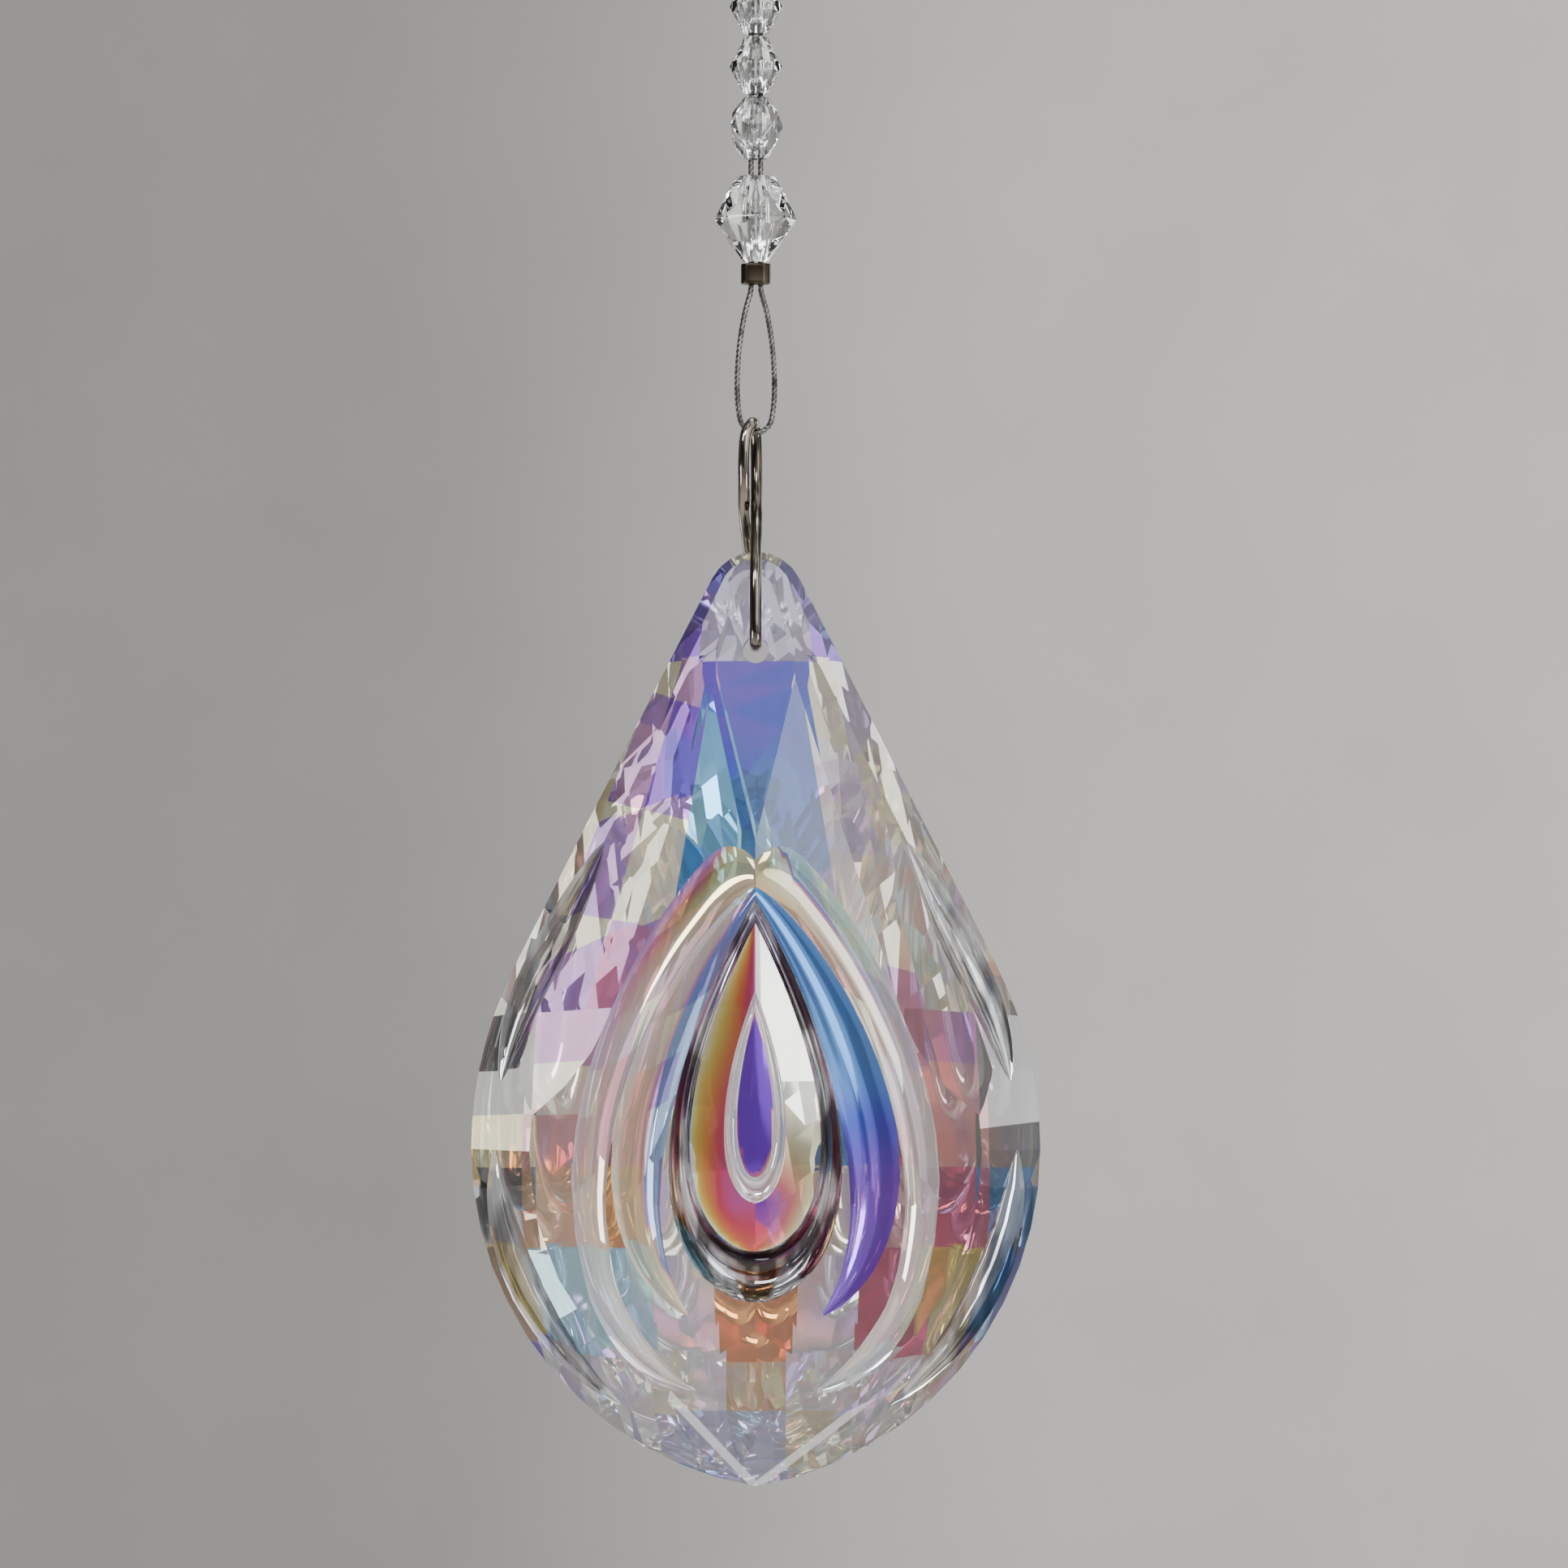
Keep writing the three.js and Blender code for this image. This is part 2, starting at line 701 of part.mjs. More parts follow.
const suncatcher = new THREE.Group();
suncatcher.name = 'crystal_suncatcher';

function place(name, geometry, material, z) {
  const mesh = new THREE.Mesh(geometry, material);
  mesh.name = name;
  mesh.position.set(0, 0, z);
  suncatcher.add(mesh);
  return mesh;
}

const ring = place('hang_ring', ringGeometry(), nickelWire(), -ringInnerRadius);
ring.rotation.y = Math.PI / 2;

const wireRoute = wirePoints();
place('beading_wire', wireAlong(wireRoute, wireDiameter, 8, 2 * (wireRoute.length - 1)), steelWire(), 0);
place('upper_crimp', crimpGeometry(), darkCrimp(), upperCrimpTop - crimpLength);
place('lower_crimp', crimpGeometry(), darkCrimp(), lowerCrimpBottom);

const largeGeometry = toGeometry(largeBead());
place('large_bead_upper', largeGeometry, clearBead(), upperLargeBeadTop);
place('large_bead_lower', largeGeometry, clearBead(), lowerLargeBeadTop);
place('small_bead_1', toGeometry(roundBead()), clearBead(), smallBead1Top);
const biconeGeometry = toGeometry(biconeBead());
place('small_bead_2', biconeGeometry, clearBead(), smallBead2Top);
place('small_bead_3', biconeGeometry, clearBead(), smallBead3Top);

const pinRoute = pinPoints();
place('hanger_pin', wireAlong(pinRoute, pinWireDiameter, 10, 2 * (pinRoute.length - 1)), nickelWire(), 0);
place('crystal_pendant', toGeometry(dropSolid()), coatedCrystal(), dropTop);

export default suncatcher;
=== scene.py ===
# Crystal suncatcher: a large cut drop on a bent pin, under clear beads on a doubled steel cable.
# All lengths below are millimetres and become metres when a mesh is made.
import math
import bmesh
import bpy
from mathutils import Matrix, Vector


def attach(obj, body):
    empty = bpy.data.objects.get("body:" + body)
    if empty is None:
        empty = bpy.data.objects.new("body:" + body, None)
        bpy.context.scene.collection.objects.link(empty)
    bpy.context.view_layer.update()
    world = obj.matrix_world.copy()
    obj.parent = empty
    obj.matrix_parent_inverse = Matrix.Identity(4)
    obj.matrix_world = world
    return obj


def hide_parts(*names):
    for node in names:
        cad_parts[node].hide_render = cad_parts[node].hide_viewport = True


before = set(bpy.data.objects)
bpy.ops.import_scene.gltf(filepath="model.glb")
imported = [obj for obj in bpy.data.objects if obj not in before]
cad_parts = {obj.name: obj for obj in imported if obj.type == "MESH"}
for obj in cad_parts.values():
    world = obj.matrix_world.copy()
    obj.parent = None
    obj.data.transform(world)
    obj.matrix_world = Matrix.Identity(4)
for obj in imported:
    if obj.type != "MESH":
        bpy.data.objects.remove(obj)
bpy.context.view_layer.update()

mm = 0.001
root = "root"


# meshes

def newPiece(name, points, faces, materials, smooth=True):
    mesh = bpy.data.meshes.new(name)
    mesh.from_pydata([tuple(c * mm for c in p) for p in points], [], faces)
    for material in materials:
        mesh.materials.append(material)
    mesh.polygons.foreach_set("use_smooth", [smooth] * len(faces))
    mesh.update()
    piece = bpy.data.objects.new(name, mesh)
    bpy.context.scene.collection.objects.link(piece)
    return piece


def pieceFrom(name, shape, materials):
    shape.verts.index_update()
    points = [v.co.copy() for v in shape.verts]
    faces = [tuple(v.index for v in f.verts) for f in shape.faces]
    shape.free()
    return newPiece(name, points, faces, materials, smooth=False)


def settle(piece, slotName, *nodes):
    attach(piece, root)
    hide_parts(*nodes)
    print("made", piece.name, len(piece.data.polygons), "faces")


# a curve through the points that slows down in tight bends, so that it never swings out of them
def smoothRoute(points, spacing):
    points = [Vector(p) for p in points]
    ends = [points[0] * 2 - points[1]] + points + [points[-1] * 2 - points[-2]]
    fine = []
    for i in range(1, len(ends) - 2):
        p0, p1, p2, p3 = ends[i - 1:i + 3]
        t0, t1, t2 = (math.sqrt((b - a).length) for a, b in ((p0, p1), (p1, p2), (p2, p3)))
        m1 = ((p1 - p0) / t0 - (p2 - p0) / (t0 + t1) + (p2 - p1) / t1) * t1
        m2 = ((p2 - p1) / t1 - (p3 - p1) / (t1 + t2) + (p3 - p2) / t2) * t1
        pieces = max(2, round((p2 - p1).length / spacing))
        for step in range(pieces):
            t = step / pieces
            a = 2 * t ** 3 - 3 * t ** 2 + 1
            b = t ** 3 - 2 * t ** 2 + t
            fine.append(p1 * a + m1 * b + p2 * (1 - a) + m2 * (t ** 3 - t ** 2))
    fine.append(points[-1])
    return fine


# the faces between rings of corners that follow each other, and at both ends unless it is closed
def bandFaces(rings, sides, closed):
    faces = []
    for i in range(rings if closed else rings - 1):
        m = (i + 1) % rings
        for j in range(sides):
            k = (j + 1) % sides
            faces.append((i * sides + j, i * sides + k, m * sides + k, m * sides + j))
    if not closed:
        faces.append(tuple(reversed(range(sides))))
        faces.append(tuple(range((rings - 1) * sides, rings * sides)))
    return faces


# rings of corners round a route; sectionAt gives the corners at a distance along it
def sweep(route, sectionAt, sideways=(0, 1, 0)):
    points = []
    side = Vector(sideways)
    travelled = 0.0
    for i, place in enumerate(route):
        before, after = route[max(i - 1, 0)], route[min(i + 1, len(route) - 1)]
        along = (after - before).normalized()
        side = (side - along * side.dot(along)).normalized()
        other = along.cross(side)
        if i:
            travelled += (place - route[i - 1]).length
        corners = sectionAt(travelled)
        points += [place + side * u + other * v for u, v in corners]
    return points, bandFaces(len(route), len(corners), False)


def clamp(value):
    return max(0, min(1, value))


def circle(radius, sides, turn=0.0):
    return [(radius * math.cos(turn + math.tau * i / sides), radius * math.sin(turn + math.tau * i / sides))
            for i in range(sides)]


# materials

def newMaterial(name):
    material = bpy.data.materials.new(name)
    material.use_nodes = True
    tree = material.node_tree
    return material, tree, tree.nodes["Principled BSDF"]


# an input takes a plain value or the output of another node
def feed(tree, node, inputs):
    for word, value in inputs.items():
        if isinstance(value, bpy.types.NodeSocket):
            tree.links.new(value, node.inputs[word])
        else:
            node.inputs[word].default_value = value


def addNode(tree, kind, inputs, **settings):
    node = tree.nodes.new("ShaderNode" + kind)
    for word, value in settings.items():
        setattr(node, word, value)
    feed(tree, node, inputs)
    return node


def stretchedPlace(tree, stretch, turn=0.0):
    place = addNode(tree, "TexCoord", {}).outputs["Object"]
    mapping = addNode(tree, "Mapping", {"Vector": place, "Scale": stretch, "Rotation": (0, turn, 0)})
    return mapping.outputs["Vector"]


def addBump(tree, shader, heights, strength, distance):
    bump = addNode(tree, "Bump", {"Strength": strength, "Distance": distance, "Height": heights})
    feed(tree, shader, {"Normal": bump.outputs["Normal"]})


def noiseBump(tree, shader, scale, strength, distance, detail=2.0, stretch=(1, 1, 1)):
    place = stretchedPlace(tree, stretch)
    noise = addNode(tree, "TexNoise", {"Scale": scale, "Detail": detail, "Vector": place}).outputs["Fac"]
    addBump(tree, shader, noise, strength, distance)
    return noise


# colours along a value from 0 to 1
def rampBetween(tree, source, stops):
    ramp = addNode(tree, "ValToRGB", {"Fac": source})
    elements = ramp.color_ramp.elements
    while len(elements) < len(stops):
        elements.new(0.5)
    for element, (place, colour) in zip(elements, stops):
        element.position = place
        element.color = (*colour, 1)
    return ramp.outputs["Color"]


def mathNode(tree, operation, *sources):
    return addNode(tree, "Math", dict(enumerate(sources)), operation=operation).outputs[0]


def mixColours(tree, share, first, second):
    mix = addNode(tree, "Mix", {"Factor": share, "A": first, "B": second}, data_type="RGBA")
    return mix.outputs["Result"]


def grey(value):
    return (value, value, value)


def clearGlass(name, look):
    material, tree, shader = newMaterial(name)
    noise = noiseBump(tree, shader, look["rippleScale"], look["ripple"], look["rippleHeight"])
    roughness = rampBetween(tree, noise, [(0.35, grey(look["roughness"])),
                                          (0.75, grey(look["roughness"] + look["haze"]))])
    feed(tree, shader, {"Base Color": (*look["tint"], 1), "Transmission Weight": 1.0,
                        "IOR": look["ior"], "Roughness": roughness})
    return material


def metal(name, look):
    material, tree, shader = newMaterial(name)
    noise = noiseBump(tree, shader, look["grain"], look["bump"], look["bumpHeight"],
                      detail=5.0, stretch=look["stretch"])
    colour = rampBetween(tree, noise, [(0.35, look["dark"]), (0.62, look["light"])])
    roughness = rampBetween(tree, noise, [(0.3, grey(look["roughness"] * 1.5)),
                                          (0.7, grey(look["roughness"]))])
    feed(tree, shader, {"Metallic": 1.0, "Base Color": colour, "Roughness": roughness})
    return material


# camera

photoView = {"distance": 400.0, "x": 2.3, "z": -89.7, "lens": 112.3}

cameraData = bpy.data.cameras.new("photoCamera")
cameraData.lens = photoView["lens"]
cameraData.sensor_width = 36.0
camera = bpy.data.objects.new("photoCamera", cameraData)
camera.location = (photoView["x"] * mm, -photoView["distance"] * mm, photoView["z"] * mm)
camera.rotation_euler = (math.radians(90), 0, 0)
bpy.context.scene.collection.objects.link(camera)
bpy.context.scene.camera = camera


# cable: one doubled length with a loop at either end

cable = {
    "diameter": 0.46,
    "strands": 6,        # round a hidden middle strand
    "twistLength": 2.6,  # along the cable for one full turn
    "spacing": 0.78,     # between the two runs inside the beads
    "endGap": 0.3,
    "look": {"dark": (0.035, 0.033, 0.03), "light": (0.17, 0.165, 0.158), "roughness": 0.24, "grain": 900.0,
             "bump": 0.2, "bumpHeight": 0.00004, "stretch": (1, 1, 1)},
}

levels = {"upperLoopTop": -7.67, "upperCrimpTop": -14.67, "lowerCrimpTop": -47.17,
          "lowerCrimpBottom": -48.83, "lowerLoopBottom": -60.98}
loopWidths = {"upper": 2.2, "lower": 3.05}


# one side of a loop, from where its runs part to just before its end
def loopSide(start, end, width, up):
    length = abs(end - start)
    shape = [(0.3, 0.2), (0.44, 0.42), (0.5, 0.66), (0.47, 0.83), (0.38, 0.94), (0.2, 0.988)]
    side = [(cable["spacing"] / 2 * 1.05, 0, start + up * 0.04 * length)]
    return side + [(share * width, 0, start + up * down * length) for share, down in shape]


def mirroredBack(points):
    return [(-x, y, z) for x, y, z in reversed(points)]


def cablePoints():
    x = cable["spacing"] / 2
    ends = (levels["lowerCrimpTop"] + levels["lowerCrimpBottom"]) / 2
    lower, upper = levels["lowerCrimpBottom"], levels["upperCrimpTop"]
    lowerSide = loopSide(lower, levels["lowerLoopBottom"], loopWidths["lower"], -1)
    upperSide = loopSide(upper, levels["upperLoopTop"], loopWidths["upper"], 1)
    climb = [(x, 0, lower + (upper - lower) * i / 6) for i in range(1, 6)]
    down = [(-x, 0, ends - cable["endGap"] / 2), (-x, 0, lower)]
    down += list(reversed(mirroredBack(lowerSide)))
    down += [(0, 0, levels["lowerLoopBottom"])]
    up = list(reversed(lowerSide)) + [(x, 0, lower)] + climb + [(x, 0, upper)] + upperSide
    back = [(0, 0, levels["upperLoopTop"])] + mirroredBack(upperSide) + [(-x, 0, upper)] + mirroredBack(climb)
    return down + up + back + [(-x, 0, ends + cable["endGap"] / 2)]


# the outline of the twisted strands at a distance along the cable
def strandSection(travelled):
    corners = []
    outer = cable["diameter"] / 2
    strandRadius = outer / 3
    turn = math.tau * travelled / cable["twistLength"]
    for strand in range(cable["strands"]):
        middle = turn + math.tau * strand / cable["strands"]
        for bit in (-1.05, -0.5, 0, 0.5, 1.05):
            angle = middle + bit
            corners.append((2 * strandRadius * math.cos(middle) + strandRadius * math.cos(angle),
                            2 * strandRadius * math.sin(middle) + strandRadius * math.sin(angle)))
    return corners


cableMaterial = metal("steelCable", cable["look"])
cableRoute = smoothRoute(cablePoints(), 0.13)
cablePiece = newPiece("steelCable", *sweep(cableRoute, strandSection), [cableMaterial])
settle(cablePiece, "steel_wire", "beading_wire")


# crimps: flattened tubes round both runs of the cable

crimp = {
    "width": 2.45, "depth": 1.6, "length": 1.66, "clearance": 0.06, "lip": 0.09, "boreChamfer": 0.12,
    "dent": 0.07, "dentWidth": 0.55,
    "tops": {"Upper": levels["upperCrimpTop"], "Lower": levels["lowerCrimpTop"]},
    "look": {"dark": (0.028, 0.02, 0.014), "light": (0.16, 0.125, 0.095), "roughness": 0.2, "grain": 260.0,
             "bump": 0.35, "bumpHeight": 0.00006, "stretch": (1, 1, 0.5)},
}


# a slot-shaped line, squeezed in at its middle
def slotLoop(halfSpan, radius, squeeze=0.0, steps=20):
    corners = []
    for side in (1, -1):
        for i in range(steps + 1):
            angle = -math.pi / 2 + math.pi * i / steps
            corners.append((side * (halfSpan + radius * math.cos(angle)), side * radius * math.sin(angle)))
    return [(x, y * (1 - squeeze * math.exp(-(x / crimp["dentWidth"]) ** 2))) for x, y in corners]


def crimpMesh(top):
    length, lip = crimp["length"], crimp["lip"]
    radius = crimp["depth"] / 2
    halfSpan = (crimp["width"] - crimp["depth"]) / 2
    bore = cable["diameter"] / 2 + crimp["clearance"]
    boreSpan = cable["spacing"] / 2
    chamfer = crimp["boreChamfer"]
    lipAngles = [math.pi / 2 * i / 4 for i in range(5)]
    lips = [(radius - lip * (1 - math.sin(angle)), lip * (1 - math.cos(angle))) for angle in lipAngles]
    rings = [(boreSpan, bore, chamfer, 0), (boreSpan, bore, length - chamfer, 0)]
    rings += [(halfSpan, r, length - rise, 0) for r, rise in lips]
    rings += [(halfSpan, radius, length * share, crimp["dent"] * math.sin(math.pi * share))
              for share in (0.82, 0.66, 0.5, 0.34, 0.18)]
    rings += [(halfSpan, r, rise, 0) for r, rise in reversed(lips)]
    points = []
    for span, r, rise, squeeze in rings:
        corners = slotLoop(span, r, squeeze)
        points += [(x, y, top - length + rise) for x, y in corners]
    return points, [(a, d, c, b) for a, b, c, d in bandFaces(len(rings), len(corners), True)]


crimpMaterial = metal("darkCrimp", crimp["look"])
for where, top in crimp["tops"].items():
    piece = newPiece("crimp" + where, *crimpMesh(top), [crimpMaterial])
    settle(piece, "dark_crimp", where.lower() + "_crimp")


# beads

bead = {
    "edge": 0.05,        # width of the polished facet edges
    "bore": 0.72,        # radius of the drilled hole
    "neck": 1.02,        # radius of the small end faces
    "large": {"length": 7.0, "width": 6.7, "sides": 8, "tops": {"Upper": -16.45, "Lower": -40.05}},
    "round": {"length": 5.03, "width": 4.48, "sides": 7, "tops": {"1": -33.56}},
    "bicone": {"length": 4.65, "width": 4.35, "sides": 6, "tops": {"2": -28.64, "3": -23.72}},
    "look": {"tint": (1, 1, 1), "ior": 1.56, "roughness": 0.0, "haze": 0.02, "rippleScale": 300.0,
             "ripple": 0.03, "rippleHeight": 0.00005},
    "boreLook": {"tint": (0.95, 0.95, 0.95), "ior": 1.56, "roughness": 0.02, "haze": 0.05,
                 "rippleScale": 1200.0, "ripple": 0.08, "rippleHeight": 0.00005},
}

# radius as a share of half the width, level as a share of the length, for each ring of corners
beadRings = {
    "large": [(0.46, 0), (0.79, 0.22), (1, 0.5), (0.94, 0.61), (0, 1)],
    "round": [(0, 0), (0.87, 0.25), (1, 0.47), (0.84, 0.76), (0, 1)],
    "bicone": [(0, 0), (0.93, 0.42), (1, 0.52), (0.7, 0.8), (0, 1)],
}


def applyBoolean(piece, cutter):
    cut = piece.modifiers.new("cut", "BOOLEAN")
    cut.operation = "DIFFERENCE"
    cut.solver = "EXACT"
    cut.material_mode = "TRANSFER"
    cut.object = cutter
    graph = bpy.context.evaluated_depsgraph_get()
    graph.update()
    mesh = bpy.data.meshes.new_from_object(piece.evaluated_get(graph))
    piece.modifiers.clear()
    old = piece.data
    piece.data = mesh
    bpy.data.meshes.remove(old)
    oldCutter = cutter.data
    bpy.data.objects.remove(cutter)
    bpy.data.meshes.remove(oldCutter)


def beadPiece(name, kind, top, materials):
    size = bead[kind]
    half = size["width"] / 2
    shape = bmesh.new()
    for ring, (share, down) in enumerate(beadRings[kind]):
        radius = max(bead["neck"], share * half)
        for x, y in circle(radius, size["sides"], math.pi / size["sides"] * (ring % 2)):
            shape.verts.new((x, y, top - down * size["length"]))
    bmesh.ops.convex_hull(shape, input=shape.verts)
    bmesh.ops.dissolve_limit(shape, angle_limit=0.01, verts=shape.verts, edges=shape.edges)
    bmesh.ops.bevel(shape, geom=shape.edges[:], offset=bead["edge"], segments=1, affect="EDGES",
                    clamp_overlap=True)
    piece = pieceFrom(name, shape, materials)
    drill = [Vector((0, 0, top + 1)), Vector((0, 0, top - size["length"] - 1))]
    cutter = newPiece("drill", *sweep(drill, lambda t: circle(bead["bore"], 40)), [materials[1]])
    applyBoolean(piece, cutter)
    return piece


beadGlass = clearGlass("beadGlass", bead["look"])
boreGlass = clearGlass("boreGlass", bead["boreLook"])
for kind, word in (("large", "largeBead"), ("round", "smallBead"), ("bicone", "smallBead")):
    for where, top in bead[kind]["tops"].items():
        piece = beadPiece(word + where, kind, top, [beadGlass, boreGlass])
        node = "large_bead_" + where.lower() if kind == "large" else "small_bead_" + where
        settle(piece, "clear_bead", node)


# hang ring

ring = {"innerRadius": 4.0, "wire": 1.0}
pinLook = {"dark": (0.06, 0.05, 0.04), "light": (0.24, 0.21, 0.18), "roughness": 0.09, "grain": 700.0,
           "bump": 0.12, "bumpHeight": 0.00003, "stretch": (1, 1, 0.2)}
nickel = metal("brightNickel", pinLook)


def ringMesh(around=120, sides=24):
    points = []
    radius = ring["innerRadius"] + ring["wire"] / 2
    for i in range(around):
        turn = math.tau * i / around
        for u, v in circle(ring["wire"] / 2, sides):
            out = radius + u
            points.append((v, out * math.cos(turn), out * math.sin(turn) - ring["innerRadius"]))
    return points, bandFaces(around, sides, True)


ringPiece = newPiece("hangRing", *ringMesh(), [nickel])
settle(ringPiece, "nickel_wire", "hang_ring")


# drop

drop = {
    "top": -70.75, "height": 76.2, "halfWidth": 23.2, "widest": 48.7,
    "capRadius": 4.0, "shoulderRadius": 33.3,
    "bulge": {-1: 9.8, 1: 9.0},   # front and back
    "rim": 1.2,                   # half the thickness at the edge
    "rimSlope": 0.72, "crownSlope": 0.3, "crownShare": 0.215, "tipSlope": 0.446,
    "holeRadius": 1.06, "holeBelowTop": 8.1,
    "paleCap": 0.124,             # share of the height above which the coat behind is pale
}
height, halfWidth = drop["height"], drop["halfWidth"]


def flankAngle():
    towardsX = halfWidth - drop["shoulderRadius"]
    towardsZ = drop["capRadius"] - drop["widest"]
    apart = math.hypot(towardsX, towardsZ)
    return math.atan2(towardsZ, towardsX) + math.acos((drop["capRadius"] - drop["shoulderRadius"]) / apart)


def arcPoints(centreX, centreZ, radius, start, end, steps):
    angles = [start + (end - start) * i / steps for i in range(steps + 1)]
    return [Vector((centreX + radius * math.cos(a), centreZ + radius * math.sin(a))) for a in angles]


def rightOutline():
    flank = flankAngle()
    archDrop = height - drop["widest"]
    archRadius = (halfWidth ** 2 + archDrop ** 2) / (2 * halfWidth)
    archEnd = -math.atan2(archDrop, archRadius - halfWidth)
    shoulderRadius = drop["shoulderRadius"]
    cap = arcPoints(0, -drop["capRadius"], drop["capRadius"], math.pi / 2, flank, 4)
    shoulder = arcPoints(halfWidth - shoulderRadius, -drop["widest"], shoulderRadius, flank, 0, 7)
    arch = arcPoints(halfWidth - archRadius, -drop["widest"], archRadius, 0, archEnd, 12)
    return cap, shoulder, arch


cap, shoulder, arch = rightOutline()
rightSide = cap + shoulder + arch[1:]


# a plane is its depth from the middle plane at the origin, its slope to the right and its slope upwards
def depthAt(plane, x, z):
    return plane[0] + plane[1] * x + plane[2] * z


def planeThrough(points, bulge):
    a, b, c = [(x * halfWidth, -down * height, depth * bulge) for x, down, depth in points]
    area = (b[0] - a[0]) * (c[1] - a[1]) - (c[0] - a[0]) * (b[1] - a[1])
    across = ((b[2] - a[2]) * (c[1] - a[1]) - (c[2] - a[2]) * (b[1] - a[1])) / area
    down = ((b[0] - a[0]) * (c[2] - a[2]) - (c[0] - a[0]) * (b[2] - a[2])) / area
    return a[2] - across * a[0] - down * a[1], across, down


def rimPlane(start, end, startDepth, slope):
    along = (end - start).normalized()
    inwards = Vector((along.y, -along.x))
    return startDepth - slope * inwards.dot(start), slope * inwards.x, slope * inwards.y


# three points each: share of half width, share of height, share of the bulge
tallFacets = {
    "middle": [(-0.5, 0.106, 0.388), (0.5, 0.106, 0.388), (0, 0.308, 0.702)],
    "shoulder": [(0.138, 0.03, 0.27), (0.138, 0.1365, 0.435), (0.215, 0.0656, 0.245)],
    "long": [(0.138, 0.1365, 0.435), (0, 0.308, 0.702), (0, 0.63, 1.05)],
    "flank": [(0.205, 0.0656, 0.318), (0.53, 0.369, 0.4536), (0.724, 0.369, 0.122)],
}
backFlank = [(0.205, 0.0656, 0.33), (0.53, 0.369, 0.33), (0.724, 0.369, 0.133)]   # less steep behind
dome = {"centre": -0.59 * height, "across": 0.83 / halfWidth ** 2, "up": 3.73 / height ** 2,
        "down": 5.5 / height ** 2}
chequer = {"rows": [0.53, 0.582, 0.63, 0.695, 0.79, 0.9], "pitch": 0.21 * halfWidth, "columns": 4}


def domeDepth(bulge, x, z):
    fall = dome["up"] if z > dome["centre"] else dome["down"]
    return bulge * (1 - dome["across"] * x * x - fall * (z - dome["centre"]) ** 2)


def domePlane(bulge, x, z):
    fall = dome["up"] if z > dome["centre"] else dome["down"]
    across = -2 * bulge * dome["across"] * x
    down = -2 * bulge * fall * (z - dome["centre"])
    return domeDepth(bulge, x, z) - across * x - down * z, across, down


# every facet of one face of the drop: (name, place in its row, plane)
def facetsOf(side):
    bulge = drop["bulge"][side]
    facets = []
    for name, points in tallFacets.items():
        plane = planeThrough(backFlank if name == "flank" and side > 0 else points, bulge)
        facets.append((name, 1, plane))
        if name != "middle":
            facets.append((name, -1, (plane[0], -plane[1], plane[2])))
    lower = shoulder + arch[1:]
    rims = [("cap", cap, 1, drop["rim"], drop["rimSlope"]), ("rim", lower, 1, drop["rim"], drop["rimSlope"])]
    if side < 0:
        distance = drop["crownShare"] * halfWidth
        start = drop["rim"] + (drop["rimSlope"] - drop["crownSlope"]) * distance
        rims.append(("crown", lower, 2, start, drop["crownSlope"]))
        facets.append(("table", 0, (bulge, 0, 0)))
    else:
        for row, share in enumerate(chequer["rows"]):
            for column in range(-chequer["columns"], chequer["columns"] + 1):
                facets.append(("chequer%d" % row, column,
                               domePlane(bulge, column * chequer["pitch"], -share * height)))
    for name, line, stride, start, slope in rims:
        for i in range(0, len(line) - stride, stride):
            level, across, down = rimPlane(line[i], line[i + stride], start, slope)
            facets.append((name, i + 1, (level, across, down)))
            facets.append((name, -i - 1, (level, -across, down)))
    facets.append(("tip", 0, (drop["rim"] + drop["tipSlope"] * height, 0, drop["tipSlope"])))
    return facets


frontFacets, backFacets = facetsOf(-1), facetsOf(1)


def glassDepth(x, z):
    return min(domeDepth(drop["bulge"][-1], x, z), *(depthAt(plane, x, z) for _, _, plane in frontFacets))


# a thick plate with the outline of the drop, for the facets to be ground from
def blockMesh():
    depth = 1.2 * sum(drop["bulge"].values()) / 2
    corners = rightSide + [Vector((-p.x, p.y)) for p in reversed(rightSide[1:-1])]
    shape = bmesh.new()
    near = [shape.verts.new((p.x, -depth, p.y)) for p in corners]
    far = [shape.verts.new((p.x, depth, p.y)) for p in corners]
    shape.faces.new(near)
    shape.faces.new(list(reversed(far)))
    for i in range(len(corners)):
        j = (i + 1) % len(corners)
        shape.faces.new((near[j], near[i], far[i], far[j]))
    bmesh.ops.recalc_face_normals(shape, faces=shape.faces)
    return shape


def grind(shape, plane, side):
    outwards = Vector((-plane[1], side, -plane[2])).normalized()
    cut = bmesh.ops.bisect_plane(shape, geom=shape.verts[:] + shape.edges[:] + shape.faces[:], dist=1e-5,
                                 plane_co=(0, side * plane[0], 0), plane_no=outwards, clear_outer=True)
    edges = [e for e in cut["geom_cut"] if isinstance(e, bmesh.types.BMEdge) and e.is_boundary]
    if len(edges) > 2:
        bmesh.ops.edgeloop_fill(shape, edges=edges)


# teardrop lines: share of the height at top and bottom, share of half width, and how pointed
loops = {
    "innerInside": {"top": 0.486, "bottom": 0.661, "width": 0.063, "point": 1},
    "innerOutside": {"top": 0.465, "bottom": 0.688, "width": 0.108, "point": 1},
    "ringInside": {"top": 0.395, "bottom": 0.74, "width": 0.226, "point": 1},
    "ringOutside": {"top": 0.369, "bottom": 0.794, "width": 0.3, "point": 1},
    "second": {"top": 0.357, "bottom": 0.882, "width": 0.513, "point": 0.6},
    "third": {"top": 0.283, "bottom": 0.93, "width": 0.642, "point": 0.6, "notch": 0.047, "notchWidth": 0.18},
}


